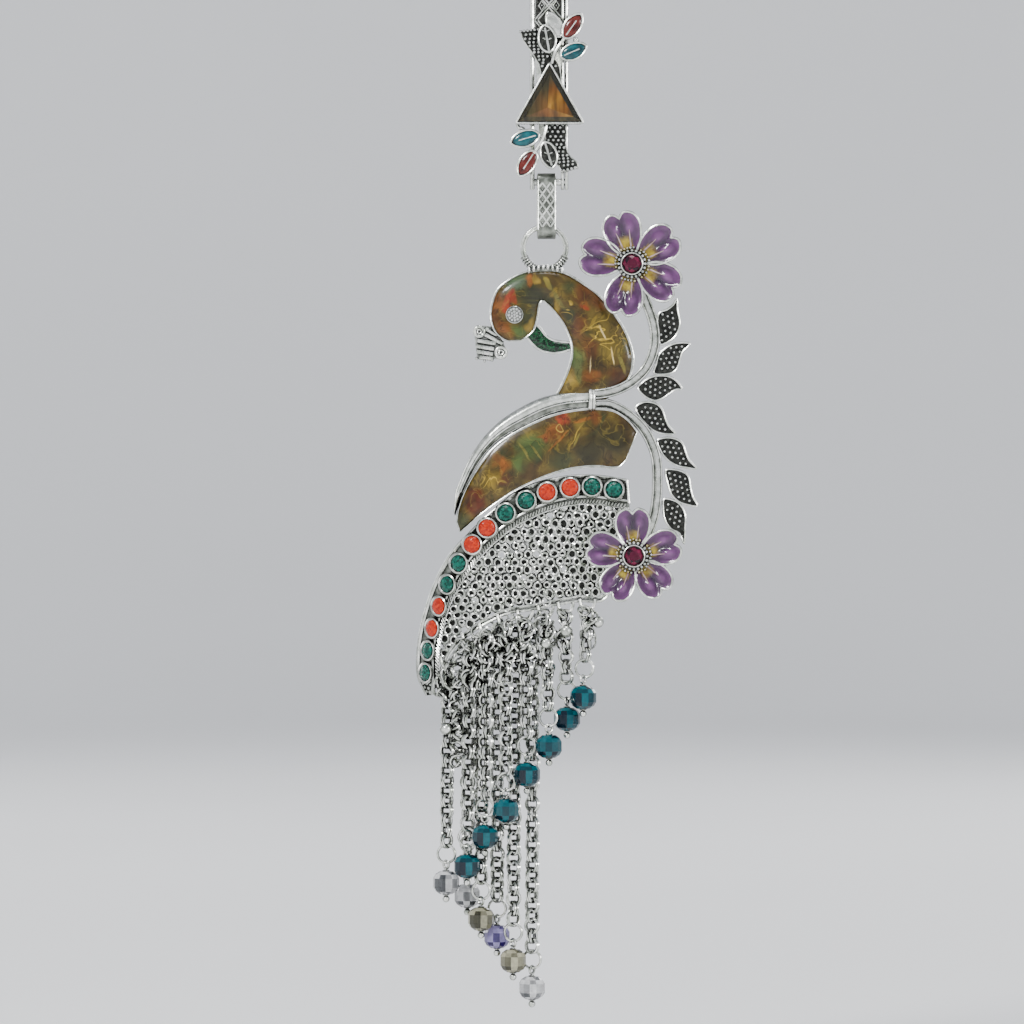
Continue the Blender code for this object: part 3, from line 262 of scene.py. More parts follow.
def facets(sides, twists, closed=False):
    """Faces between rings of points, in triangles where the next ring is twisted."""
    faces = []
    count = len(twists)
    for number in range(count if closed else count - 1):
        after = (number + 1) % count
        a, b, turned = number * sides, after * sides, twists[after] - twists[number]
        for k in range(sides):
            n = (k + 1) % sides
            if turned == 0:
                faces.append((a + k, a + n, b + n, b + k))
            elif turned > 0:
                faces += [(a + k, a + n, b + k), (a + n, b + n, b + k)]
            else:
                faces += [(a + k, b + n, b + k), (a + k, a + n, b + n)]
    return faces


def end_caps(rings):
    """A face over the first ring and one over the last."""
    sides, last = len(rings[0]), (len(rings) - 1) * len(rings[0])
    return [tuple(range(sides)), tuple(range(last, last + sides))]


def placed(name, data):
    """An object in the scene."""
    obj = bpy.data.objects.new(name, data)
    bpy.context.scene.collection.objects.link(obj)
    return obj


def sweep_back(x):
    """How far the tail is bent back at x."""
    return SWEEP * max(0.0, SWEEP_START - x) ** 2


def foreshortening(x):
    """How narrow the tail's slope makes a stone look from the front."""
    return math.cos(math.atan(2 * SWEEP * max(0.0, SWEEP_START - x)))


class Shape:
    """Points in millimetres, faces with the number of their look, and two tints a point, which
    carry colour shares and painted light.
    """

    def __init__(self):
        self.points, self.faces, self.looks, self.tints = [], [], [], []

    def add(self, points, faces, look=0, tints=None):
        """More points, and faces that count from the first of them."""
        base = len(self.points)
        self.points += [Vector(point) for point in points]
        self.faces += [tuple(base + index for index in face) for face in faces]
        self.looks += [look] * len(faces)
        self.tints += tints or [(0, 0)] * len(points)

    def skin(self, rings, look=0, closed=False, tints=None, strips=None):
        """Quads between rings of equally many points, capped at both ends unless closed.

        strips gives the lengthwise rows of quads that take another look.
        """
        sides, first = len(rings[0]), len(self.looks)
        quads = facets(sides, [0] * len(rings), closed)
        faces = quads if closed else quads + end_caps(rings)
        self.add([point for ring in rings for point in ring], faces, look, tints)
        for row, other in (strips or {}).items():
            for number in range(row, len(quads), sides):
                self.looks[first + number] = other

    def tube(self, path, radius, sides=8, look=0, closed=False, squeeze=1.0):
        """A wire along a path; radius is a number or one for each point."""
        path = [Vector(point) for point in path]
        count = len(path)
        radii = radius if isinstance(radius, (list, tuple)) else [radius] * count
        rings, normal = [], None
        for i, point in enumerate(path):
            before = path[i - 1] if i or closed else path[0]
            after = path[(i + 1) % count] if i < count - 1 or closed else path[-1]
            along = (after - before).normalized()
            if normal is None:
                normal = Vector((0, -1, 0)) if abs(along.y) < 0.9 else Vector((1, 0, 0))
            normal = (normal - along * normal.dot(along)).normalized()
            other = along.cross(normal)
            rings.append([point + (normal * math.cos(a) * squeeze + other * math.sin(a)) * radii[i]
                          for a in angles(sides)])
        self.skin(rings, look, closed)

    def hoop(self, centre, radius, wire, normal=(0, 1, 0), sides=24, wire_sides=8, look=0,
             stretch=1.0):
        """A ring round a normal, drawn out along Z by stretch."""
        normal = Vector(normal).normalized()
        side = normal.cross(Vector((0, 0, 1)))
        side = side.normalized() if side.length > 0.1 else Vector((1, 0, 0))
        up = side.cross(normal) * stretch
        path = [Vector(centre) + (side * math.cos(a) + up * math.sin(a)) * radius
                for a in angles(sides)]
        self.tube(path, wire, wire_sides, look, True)

    def ball(self, centre, radius, look=0, sides=8, rows=5):
        """A ball, its poles in front and behind."""
        centre = Vector(centre)
        rings = []
        for angle in half_turn(rows)[1:-1]:
            rings.append([centre + Vector((math.sin(angle) * math.cos(a), -math.cos(angle),
                                           math.sin(angle) * math.sin(a))) * radius
                          for a in angles(sides)])
        self.skin(rings, look)

    def lathe(self, centre, profile, sides=16, axis="y", look=0, squeeze=1.0):
        """(radius, height) pairs turned about an axis through centre; +Y height is backwards."""
        centre = Vector(centre)
        rings = []
        for radius, height in profile:
            ring = []
            for a in angles(sides):
                x, other = radius * math.cos(a) * squeeze, radius * math.sin(a)
                place = (x, height, other) if axis == "y" else (x, other, height)
                ring.append(centre + Vector(place))
            rings.append(ring)
        closed = profile[0] == profile[-1]
        self.skin(rings[:-1] if closed else rings, look, closed)

    def slab(self, rows, back, profile, look=0, strips=None):
        """A strip between two edges; profile is (share across, y) over its front."""
        self.skin([section(row, back, profile) for row in rows], look, strips=strips)

    def pad(self, outline, centre, back, levels, look=0, ground=None):
        """A cushion on an outline; levels are (share of the way out, y) from the rim inwards.

        ground is the look of its front, if that isn't the look of the rest.
        """
        cx, cz = centre
        rings = [flat(outline, back)]
        rings += [[(cx + (x - cx) * share, y, cz + (z - cz) * share) for x, z in outline]
                  for share, y in levels]
        first, count = len(self.looks), len(outline)
        self.skin(rings, look)
        if ground is not None:
            for number in range(first + count, len(self.looks)):
                self.looks[number] = ground
            self.looks[first + len(levels) * count] = look

    def swept(self):
        """Bends the tail's side back."""
        for point in self.points:
            point.y += sweep_back(point.x)
        return self

    def made(self, name, looks, replaced=(), body="pendant", slot="oxidised_silver",
             smooth_angle=40):
        """The finished piece, riding on its body."""
        mesh = bpy.data.meshes.new(name)
        mesh.from_pydata([point * MM for point in self.points], [], self.faces)
        for polygon, look in zip(mesh.polygons, self.looks):
            polygon.material_index = look
        tint = mesh.color_attributes.new("tint", "FLOAT_COLOR", "POINT")
        for number, (first, second) in enumerate(self.tints):
            tint.data[number].color = (first, second, 0, 1)
        for look in looks:
            mesh.materials.append(look)
        work = bmesh.new()
        work.from_mesh(mesh)
        bmesh.ops.recalc_face_normals(work, faces=work.faces)
        work.to_mesh(mesh)
        work.free()
        if smooth_angle:
            mesh.shade_smooth()
            mesh.set_sharp_from_angle(angle=math.radians(smooth_angle))
        obj = placed(name, mesh)
        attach(obj, body)
        if replaced:
            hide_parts(*replaced)


# Looks

def grey(*stops):
    """Stops of a ramp as (place, colour), from (place, brightness)."""
    return [(place, (value,) * 3) for place, value in stops]


class Look:
    """A Principled material; its methods add nodes and give their outputs."""

    def __init__(self, name, values):
        self.material = bpy.data.materials.new(name)
        self.material.use_nodes = True
        self.tree = self.material.node_tree
        self.shader = self.tree.nodes["Principled BSDF"]
        for socket, value in values.items():
            self.shader.inputs[socket].default_value = value
        self.coords = self.tree.nodes.new("ShaderNodeTexCoord").outputs["Object"]

    def node(self, kind, output, inputs=(), **settings):
        """A shader node's output; inputs are (socket, value or another node's output)."""
        made = self.tree.nodes.new("ShaderNode" + kind)
        for name, value in settings.items():
            setattr(made, name, value)
        for socket, value in inputs:
            if isinstance(value, bpy.types.NodeSocket):
                self.tree.links.new(value, made.inputs[socket])
            else:
                made.inputs[socket].default_value = value
        return made.outputs[output]

    def ramp(self, source, stops):
        """Colours along a value, as (place, colour)."""
        colours = self.node("ValToRGB", "Color", ((0, source),))
        elements = colours.node.color_ramp.elements
        elements[0].position, elements[0].color = stops[0][0], (*stops[0][1], 1)
        elements[1].position, elements[1].color = stops[-1][0], (*stops[-1][1], 1)
        for place, colour in stops[1:-1]:
            elements.new(place).color = (*colour, 1)
        return colours

    def noise(self, scale, detail=3.0, distortion=0.0, coords=None, output="Fac"):
        """Noise over the object's coordinates or others; the scale counts by the metre."""
        coords = self.coords if coords is None else coords
        return self.node("TexNoise", output, (("Scale", scale), ("Detail", detail),
                                              ("Distortion", distortion), ("Vector", coords)))

    def mixed(self, factor, first, second, blend="MIX"):
        """One colour over another; a factor or colour may be a value or a socket."""
        first, second = ((*value, 1) if isinstance(value, tuple) else value
                         for value in (first, second))
        return self.node("Mix", 2, ((0, factor), (6, first), (7, second)),
                         data_type="RGBA", blend_type=blend)

    def product(self, first, second):
        """Two colours multiplied."""
        return self.mixed(1.0, first, second, "MULTIPLY")

    def combined(self, operation, *vectors):
        """Vector maths on numbers or sockets."""
        return self.node("VectorMath", 0, enumerate(vectors), operation=operation)

    def stretched(self, coords, *scale):
        """Coordinates scaled along each axis."""
        return self.combined("MULTIPLY", coords, scale)

    def falling(self, offset, end, full, strength=1.0):
        """Strength while an offset is shorter than full, falling to 0 at end."""
        length = self.node("VectorMath", "Value", ((0, offset),), operation="LENGTH")
        return self.node("MapRange", "Result", (("From Min", end), ("From Max", full),
                                                ("To Max", strength), ("Value", length)),
                         interpolation_type="SMOOTHSTEP")

    def spot(self, coords, x, z, reach):
        """1 at a place of the front, falling to 0 at reach, all in millimetres."""
        offset = self.combined("SUBTRACT", coords, (x * MM, 0, z * MM))
        return self.falling(self.stretched(offset, 1, 0, 1), reach * MM, reach * MM * 0.25)

    def stroke(self, coords, ax, az, bx, bz, half):
        """A straight brush stroke from a to b on the front, in millimetres."""
        offset = self.node("Mapping", "Vector", (
            ("Location", ((ax + bx) / 2 * MM, 0, (az + bz) / 2 * MM)),
            ("Rotation", (0, -math.atan2(bz - az, bx - ax), 0)),
            ("Scale", (math.hypot(bx - ax, bz - az) / 2 * MM, 1, half * MM)),
            ("Vector", coords)), vector_type="TEXTURE")
        return self.falling(offset, end=1.15, full=0.6, strength=0.7)

    def veins(self, coords, scale, width, strength):
        """Thin lines that wander like the threads in poured resin."""
        return self.ramp(self.noise(scale, 2, 1.2, coords),
                         grey((0.5 - width, 0.0), (0.5, strength), (0.5 + width, 0.0)))

    def tint(self, channel):
        """One of the two tints that a piece's points carry, colour shares and painted light."""
        both = self.node("Attribute", "Color", attribute_name="tint")
        return self.node("SeparateColor", channel, (("Color", both),))

    def bump(self, height, strength, distance):
        """Fine relief, its depth in metres."""
        normal = self.node("Bump", "Normal", (("Strength", strength), ("Distance", distance),
                                              ("Height", height)))
        self.tree.links.new(normal, self.shader.inputs["Normal"])

    def painted(self, colour, roughness=None):
        """The finished material."""
        self.tree.links.new(colour, self.shader.inputs["Base Color"])
        if roughness is not None:
            self.tree.links.new(roughness, self.shader.inputs["Roughness"])
        return self.material


def silver_look(name, bright, dull, soot, reach, roughness=(0.14, 0.34), side=0.3):
    """Plated silver: mottled, black where it is closed in, with painted shade on faces turned
    sideways and none on faces to the front and back.

    soot is its brightness where it is closed in within reach, in metres, and side the brightness of
    the painted shade on faces turned sideways.
    """
    look = Look(name, {"Metallic": 1.0})
    colour = look.ramp(look.noise(700, 5), [(0.38, dull), (0.62, bright)])
    shade = look.node("AmbientOcclusion", "AO", (("Distance", reach),), samples=8)
    colour = look.product(colour, look.ramp(shade, grey((0.3, soot), (0.85, 1.0))))
    # Painted shade: faces turned sideways are darkened by their direction, standing in for shade
    # and dark reflections
    depth = look.node("SeparateXYZ", "Y", ((0, look.coords.node.outputs["Normal"]),))
    turned = look.node("Math", 0, ((0, depth),), operation="ABSOLUTE")
    colour = look.product(colour, look.ramp(turned, grey((0.25, side), (0.9, 1.0))))
    look.bump(look.noise(2600), 0.25, 0.00004)
    return look.painted(colour, look.ramp(look.noise(1500, 4),
                                          grey((0.3, roughness[0]), (0.7, roughness[1]))))


def black_look():
    """The soot-black ground between granules and wires, and the painted shade that closes the net's
    holes.
    """
    look = Look("blackened_ground_and_painted_shade", {"Metallic": 0.7})
    look.bump(look.noise(3000), 0.4, 0.00006)
    return look.painted(
        look.ramp(look.noise(1800, 4), [(0.35, (0.008, 0.009, 0.008)),
                                        (0.75, (0.07, 0.072, 0.062))]),
        look.ramp(look.noise(900, 2), grey((0.3, 0.4), (0.7, 0.65))))


def marble_look(name, spots, strokes, streaks, stripes):
    """Marbled resin under a clear coat: clouds, patches and strokes of colour, swirled veins.

    streaks are (x, z, reach) of the gold threads; stripes are the fine grain, as
    (x, z, reach, scale across, scale up, strength).
    """
    look = Look(name, {
        "Roughness": 0.3, "Coat Weight": 0.3, "Coat Roughness": 0.04, "Specular IOR Level": 0.25})
    swirl = look.combined("SUBTRACT", look.noise(230, output="Color"), (0.5,) * 3)
    warped = look.combined("MULTIPLY_ADD", swirl, (4.5 * MM,) * 3, look.coords)
    frayed = look.combined("MULTIPLY_ADD", swirl, (1.2 * MM,) * 3, look.coords)
    colour = look.ramp(look.noise(130, 4, 1.2), [
        (0.3, (0.05, 0.034, 0.01)), (0.42, (0.13, 0.07, 0.014)), (0.5, (0.22, 0.15, 0.024)),
        (0.58, (0.145, 0.088, 0.017)), (0.68, (0.08, 0.088, 0.024))])
    for x, z, reach, patch in spots:
        colour = look.mixed(look.spot(warped, x, z, reach), colour, patch)
    for *ends, half, patch in strokes:
        colour = look.mixed(look.stroke(frayed, *ends, half), colour, patch)
    cloud = look.ramp(look.noise(260, 4, 0.8, warped), grey((0.3, 0.22), (0.7, 0.64)))
    colour = look.product(colour, cloud)
    colour = look.mixed(look.veins(warped, 150, 0.012, 0.3), colour, (0.3, 0.22, 0.025))
    mirrored = look.stretched(warped, -1, 1, 1)
    colour = look.mixed(look.veins(mirrored, 190, 0.018, 0.7), colour, (0.015, 0.012, 0.004))
    for x, z, reach in streaks:
        threads = look.veins(look.coords, 210, 0.022, 0.9)
        here = look.product(look.spot(look.coords, x, z, reach), threads)
        colour = look.mixed(here, colour, (0.6, 0.4, 0.05))
    for x, z, reach, across, up, strength in stripes:
        grain = look.noise(1.0, 2, coords=look.stretched(look.coords, across, 1, up))
        grain = look.ramp(grain, grey((0.42, 0.0), (0.58, strength)))
        here = look.product(look.spot(look.coords, x, z, reach), grain)
        colour = look.mixed(here, colour, (0.02, 0.018, 0.008))
    return look.painted(colour)


def petal_look():
    """Purple enamel with a yellow heart, painted paler on the swells as highlights and darker in
    the hollows as shade.
    """
    look = Look("purple_enamel", {
        "Roughness": 0.2, "Coat Weight": 0.8, "Coat Roughness": 0.03, "Specular IOR Level": 0.3})
    # The second tint is painted light: deep purple for painted shade up to pale lilac for painted
    # highlight
    purple = look.ramp(look.tint("Green"), [
        (0.0, (0.02, 0.004, 0.028)), (0.3, (0.08, 0.018, 0.09)), (0.65, (0.24, 0.08, 0.25)),
        (1.0, (0.6, 0.36, 0.6))])
    cloud = look.ramp(look.noise(420, 4), grey((0.35, 0.55), (0.7, 1.15)))
    yellow = look.ramp(look.noise(900), [(0.35, (0.2, 0.12, 0.006)), (0.7, (0.6, 0.45, 0.03))])
    look.bump(look.noise(700, 2), 0.12, 0.0001)
    return look.painted(look.mixed(look.tint("Red"), look.product(purple, cloud), yellow))


def gem_look(name, deep, bright, clear=0.0):
    """A cut stone: each facet is painted from deep to bright by its direction, as painted glints
    and shade.
    """
    look = Look(name, {"Roughness": 0.06, "Specular IOR Level": 0.3, "IOR": 1.55,
                       "Transmission Weight": clear})
    # Painted glint: each facet's colour follows the direction it faces
    facet = look.noise(2.2, 1, coords=look.node("NewGeometry", "True Normal"))
    colour = look.ramp(facet, [(0.42, deep), (0.58, bright)])
    grain = look.ramp(look.noise(1600), grey((0.3, 0.8), (0.7, 1.15)))
    return look.painted(look.product(colour, grain))


def enamel_look(name, deep, bright, grain=600, sharp=0.33):
    """Glass enamel; a fine grain makes it glitter, a narrow sharp its flecks crisp."""
    look = Look(name, {
        "Roughness": 0.2, "Coat Weight": 0.35, "Coat Roughness": 0.04, "Specular IOR Level": 0.3})
    look.bump(look.noise(grain, 2), 0.15, 0.0001)
    return look.painted(look.ramp(look.noise(grain, 4), [
        (0.52 - sharp / 2, deep), (0.52 + sharp / 2, bright)]))


def druzy_look(name, deep, bright):
    """A stone set with tiny crystals: glittering cells."""
    look = Look(name, {
        "Roughness": 0.22, "Coat Weight": 0.15, "Coat Roughness": 0.05, "Specular IOR Level": 0.25})
    cells = look.node("TexVoronoi", "Color", (("Scale", 2400), ("Vector", look.coords)))
    tone = look.node("SeparateColor", "Red", (("Color", cells),))
    look.bump(cells.node.outputs["Distance"], 0.5, 0.00012)
    return look.painted(look.ramp(tone, [(0.1, deep), (0.95, bright)]))


def cut_amber_look():
    """The step-cut stone: each facet's painted light and shade comes with it, from near black to
    orange amber, streaked below the apex.
    """
    look = Look("amber_stone", {
        "Roughness": 0.08, "Coat Weight": 0.15, "Specular IOR Level": 0.3, "IOR": 1.55})
    # The first tint is each facet's painted light and shade
    colour = look.ramp(look.tint("Red"), [
        (0.0, (0.01, 0.011, 0.007)), (0.25, (0.045, 0.037, 0.013)), (0.5, (0.13, 0.048, 0.008)),
        (0.75, (0.22, 0.1, 0.012)), (1.0, (0.36, 0.2, 0.03))])
    streaks = look.noise(1100, coords=look.stretched(look.coords, 1, 1, 0.12))
    return look.painted(look.product(colour, look.ramp(streaks, grey((0.36, 0.45), (0.66, 1.3)))))


def stage_look():
    """The studio's pale matt paper."""
    look = Look("studio", {"Roughness": 0.9})
    return look.painted(look.ramp(look.noise(3, 2), grey((0.3, 0.92), (0.7, 0.95))))


BRIGHT, DULL = (0.97, 0.98, 0.92), (0.5, 0.53, 0.46)
# Each silver below carries painted shade on faces turned sideways; side sets how dark it is
SILVER = silver_look("silver", BRIGHT, (0.6, 0.63, 0.56), 0.05, 0.0009)
CHAIN = silver_look("chain_silver", BRIGHT, DULL, 0.06, 0.0016, side=0.22)
LACE = silver_look("filigree_silver", BRIGHT, DULL, 0.05, 0.0009, side=0.22)
GILT = silver_look("gilt", (0.95, 0.86, 0.5), (0.6, 0.5, 0.2), 0.1, 0.0008)
# Dark silver: oxide on grounds, floors and grooves, and painted shade on the bevels of the branch
# and forks
OXIDE_AND_SHADE = silver_look("oxide_and_painted_shade", (0.4, 0.42, 0.37), (0.13, 0.14, 0.12), 0.05, 0.0009,
                    (0.3, 0.5))
BLACK = black_look()
MOSS, LEAF, SAGE = (0.08, 0.085, 0.024), (0.14, 0.21, 0.05), (0.15, 0.24, 0.11)
FIRE, ORANGE, RUST = (0.62, 0.08, 0.025), (0.4, 0.13, 0.02), (0.2, 0.07, 0.015)
FLAME, LEMON, OLIVE = (0.65, 0.2, 0.025), (0.5, 0.42, 0.08), (0.3, 0.27, 0.06)
HONEY, STRAW, UMBER = (0.27, 0.185, 0.025), (0.55, 0.36, 0.04), (0.065, 0.055, 0.018)
GLEAM, GRASS, MAROON = (1.7, 1.3, 0.6), (0.2, 0.24, 0.06), (0.2, 0.035, 0.008)
NECK = marble_look("neck_resin", (  # x, z, reach, colour
    (-6.8, -65.6, 3.4, SAGE), (-10.6, -69.6, 2.6, ORANGE), (-10.9, -72.2, 2.4, RUST),
    (-3.5, -68.2, 3.6, MOSS), (-7.5, -68.4, 1.7, FIRE), (-8.5, -70.2, 1.3, FIRE),
    (-3.9, -65.2, 1.3, ORANGE), (-2.9, -65.3, 0.9, STRAW), (-9.1, -75.0, 2.6, ORANGE),
    (-4.6, -72.8, 2.6, MOSS), (-6.0, -75.4, 2.3, LEAF), (-3.9, -74.5, 1.4, STRAW),
    (-0.2, -69.1, 2.2, MOSS), (-0.9, -65.3, 1.0, STRAW), (0.6, -67.6, 1.2, STRAW),
    (2.2, -70.2, 1.3, STRAW), (4.0, -66.2, 2.4, MOSS), (7.2, -67.6, 3.2, RUST),
    (4.2, -72.4, 2.0, MOSS), (6.9, -70.2, 1.6, ORANGE), (10.2, -69.9, 2.6, RUST),
    (6.2, -74.6, 2.4, RUST), (10.4, -74.6, 3.4, HONEY), (8.0, -78.6, 3.0, RUST),
    (12.4, -79.0, 3.6, HONEY), (5.0, -80.8, 2.6, LEAF), (3.8, -85.4, 3.2, STRAW),
    (15.3, -78.2, 2.4, MOSS), (13.4, -84.4, 2.8, RUST), (8.6, -84.6, 2.6, ORANGE)),
    (  # from x, z to x, z, half width, colour
        (-3.9, -63.7, -3.8, -66.8, 0.6, FLAME), (-2.9, -63.6, -2.9, -66.1, 0.4, STRAW),
        (-1.1, -64.4, 0.4, -67.2, 0.6, LEMON), (0.4, -66.8, 3.7, -71.7, 0.45, OLIVE),
        (-7.0, -64.4, -5.4, -67.2, 0.8, SAGE), (-6.8, -66.6, -9.2, -70.8, 0.8, FIRE),
        (-7.5, -66.9, -6.4, -70.1, 0.55, FIRE), (-10.1, -75.0, -7.5, -75.0, 0.8, ORANGE),
        (5.6, -71.3, 5.9, -77.7, 1.2, RUST), (5.5, -78.8, 6.2, -86.2, 0.9, GRASS),
        (9.5, -72.2, 8.0, -75.2, 0.4, STRAW), (8.0, -75.8, 10.9, -77.4, 0.35, STRAW),
        (13.8, -79.6, 15.3, -84.1, 0.45, LEMON), (6.1, -70.1, 8.0, -71.1, 0.45, FIRE),
        (13.4, -83.8, 13.3, -86.4, 0.5, RUST), (10.0, -74.0, 11.7, -77.0, 0.2, GLEAM),
        (12.5, -78.4, 13.1, -82.1, 0.16, GLEAM), (8.3, -80.0, 8.2, -83.7, 0.15, GLEAM)),
    ((11.2, -76.0, 6.0), (3.6, -70.6, 2.2)),
    ((-3.1, -68.6, 3.4, 70, 1500, 0.95), (11.2, -80.5, 7.5, 1300, 110, 0.35)))
WING = marble_look("wing_resin", (
    (2.6, -92.6, 2.0, FIRE), (0.6, -95.6, 2.6, ORANGE), (-1.6, -96.8, 1.4, FIRE),
    (-3.6, -98.4, 4.0, LEAF), (-6.2, -101.6, 2.8, LEAF), (6.2, -93.8, 2.4, HONEY),
    (9.0, -92.6, 1.8, ORANGE), (12.4, -97.0, 5.4, UMBER), (8.0, -99.6, 4.4, UMBER),
    (2.6, -101.2, 3.6, MOSS), (-9.6, -101.6, 2.1, ORANGE), (-11.2, -105.2, 2.5, STRAW),
    (-8.6, -105.0, 2.0, RUST), (-14.8, -109.4, 3.2, MAROON),
    (-17.0, -113.6, 2.8, MOSS)),
    ((-2.9, -96.5, 3.3, -95.2, 0.5, ORANGE), (-0.4, -99.6, 4.3, -94.6, 0.22, FLAME),
     (6.3, -95.6, 4.9, -98.4, 0.22, LEMON), (4.6, -93.5, 8.6, -92.7, 0.45, FLAME),
     (1.4, -92.4, 2.8, -93.9, 0.6, FIRE), (-6.1, -97.3, -3.7, -101.2, 0.28, LEMON),
     (-4.1, -97.6, -1.2, -101.2, 0.22, LEMON), (-9.3, -100.3, -9.6, -104.2, 0.6, FLAME),
     (-12.4, -103.9, -10.4, -105.1, 0.32, STRAW), (-11.8, -102.3, -12.1, -106.7, 0.22, STRAW),
     (-10.1, -104.9, -8.2, -105.6, 0.22, STRAW), (-14.5, -111.2, -16.1, -107.3, 0.8, RUST)),
    ((3.4, -95.6, 4.4), (-11.4, -105.4, 3.0)), ())
PETAL = petal_look()
EMERALD = druzy_look("emerald", (0.0, 0.03, 0.022), (0.003, 0.15, 0.105))
CORAL = druzy_look("coral", (0.35, 0.012, 0.002), (0.62, 0.035, 0.004))
GARNET = gem_look("garnet", (0.012, 0.001, 0.006), (0.16, 0.008, 0.04))
AMBER_STONE = cut_amber_look()
CRYSTAL = gem_look("crystal", (0.35, 0.36, 0.35), (1.0, 1.0, 0.98), 0.1)
BEADS = {
    "teal": gem_look("teal_glass", (0.0, 0.008, 0.018), (0.001, 0.11, 0.135), 0.15),
    "clear": gem_look("clear_glass", (0.05, 0.055, 0.06), (1.0, 1.0, 1.0), 0.45),
    "smoky": gem_look("smoky_glass", (0.04, 0.038, 0.02), (0.5, 0.48, 0.33), 0.3),
    "violet": gem_look("violet_glass", (0.02, 0.008, 0.1), (0.42, 0.37, 0.68), 0.3),
}
ENAMELS = {
    "red": enamel_look("red_enamel", (0.045, 0.003, 0.003), (0.17, 0.02, 0.014)),
    "teal": enamel_look("teal_enamel", (0.001, 0.03, 0.04), (0.005, 0.12, 0.14)),
}
GREEN_ENAMEL = enamel_look("green_enamel", (0.0, 0.006, 0.002), (0.003, 0.07, 0.02), 2200, 0.2)
PETAL_RIDGE = enamel_look("petal_ridge", (0.3, 0.17, 0.18), (0.62, 0.46, 0.46))


# The hook bar

def leaf_line(base, tip, half_width, shrink):
    """A smooth pointed outline, and its centre line."""
    start, end = Vector(base), Vector(tip)
    along = (end - start).normalized()
    across = Vector((-along.y, along.x))
    length = (end - start).length
    widths = smooth(((0.0, 0.0), (0.06, 0.42), (0.2, 0.78), (0.46, 1.0), (0.7, 0.86), (0.9, 0.48),
                     (1.0, 0.0)), 3)
    sides = ([], [])
    middle = []
    for share, width in widths:
        reach = shrink + share * (length - shrink * 3.0)
        middle.append(tuple(start + along * reach))
        for side, line in zip((1, -1), sides):
            wide = max(0.0, width) * (half_width - shrink) * side
            line.append(tuple(start + along * reach + across * wide))
    return sides[0] + sides[1][-2:0:-1], middle


EDGED_STRIP = (  # shares of the half width and of the half thickness, round the section
    (1, 0.88), (0.97, 1), (-0.97, 1), (-1, 0.88), (-1, -0.88), (-0.97, -1), (0.97, -1), (1, -0.88),
)


def hook_strip():
    """The plate behind the bar's top, the bend and the prong."""
    shape = Shape()
    middle = HOOK_RADIUS + PRONG_THICKNESS / 2
    path = [(-middle, PLATE_END), (-middle, -11.0)]
    path += [(-middle * math.cos(a), -HOOK_RADIUS + middle * math.sin(a)) for a in half_turn(16)]
    path += [(middle, z) for z in (-8.0, -20.0, -32.0, PRONG_END + 2, PRONG_END + 0.5, PRONG_END)]
    half_widths = [3.8] * 19 + [3.4, 2.75, 2.1, 1.8, 1.3, 0.8]
    rings = []
    for i, ((y, z), half) in enumerate(zip(path, half_widths)):
        before, after = Vector(path[max(0, i - 1)]), Vector(path[min(len(path) - 1, i + 1)])
        along = (after - before).normalized()
        out = Vector((along.y, -along.x)) * -PRONG_THICKNESS / 2
        rings.append([(half * wide, y + out.x * reach, z + out.y * reach)
                      for wide, reach in EDGED_STRIP])
    shape.skin(rings)
    return shape


def hook_bar():
    """Three rails, a lattice on a black plate between them, and the cross bar at the foot."""
    shape = hook_strip()
    rail_top, rail_y, wire_y, ball_y = -1.2, -3.45, -3.55, -3.5
    cell_top, cell_pitch, half_width, half_height, wire_gap = -4.2, 5.9, 2.5, 2.9, 0.32
    for x, half in ((-3.35, 0.47), (3.5, 0.36), (2.7, 0.32)):
        path = [(x, rail_y, z) for z in (rail_top, -12, -24, -36, BAR_END + 0.3, BAR_END)]
        shape.tube(path, [half * 0.8, half, half, half, half, half * 0.6], 8, squeeze=1.15)
        shape.slab([(x - half, z, x + half, z) for z in (rail_top, BAR_END + 0.2)],
                   BAR_BACK, level(BAR_FRONT))
    cross_bar_radius = 0.7
    shape.tube([(x, BAIL_AXIS.y, BAIL_AXIS.z) for x in (-3.5, 3.5)], cross_bar_radius, 16)
    plate = [(-2.6, -1.4), (2.6, -1.4), (2.6, PLATE_END), (-2.6, PLATE_END)]
    shape.pad(plate, (0, -10), BAR_BACK, ((1, BAR_FRONT - 0.02), (0.96, BAR_FRONT - 0.02)), 1)
    for row in range(3):
        middle = cell_top - cell_pitch * row
        for side in (-1, 1):
            for shift in (-wire_gap, wire_gap):
                shape.tube([(half_width * side * end + shift, wire_y, middle + half_height * end)
                            for end in (-1, 1)], 0.17, 6)
            x, diamond = side * 1.45, ((0.62, 0), (0, 0.95), (-0.62, 0), (0, -0.95))
            shape.tube([(x + dx, wire_y, middle + dz) for dx, dz in diamond], 0.15, 6, closed=True)
            shape.ball((x, ball_y, middle), 0.24)
        for end in (-2.95, 2.95):
            shape.ball((0, ball_y, middle + end), 0.3)
    shape.made("hook_bar_silver", [SILVER, BLACK], ("hook_bar",), "root")


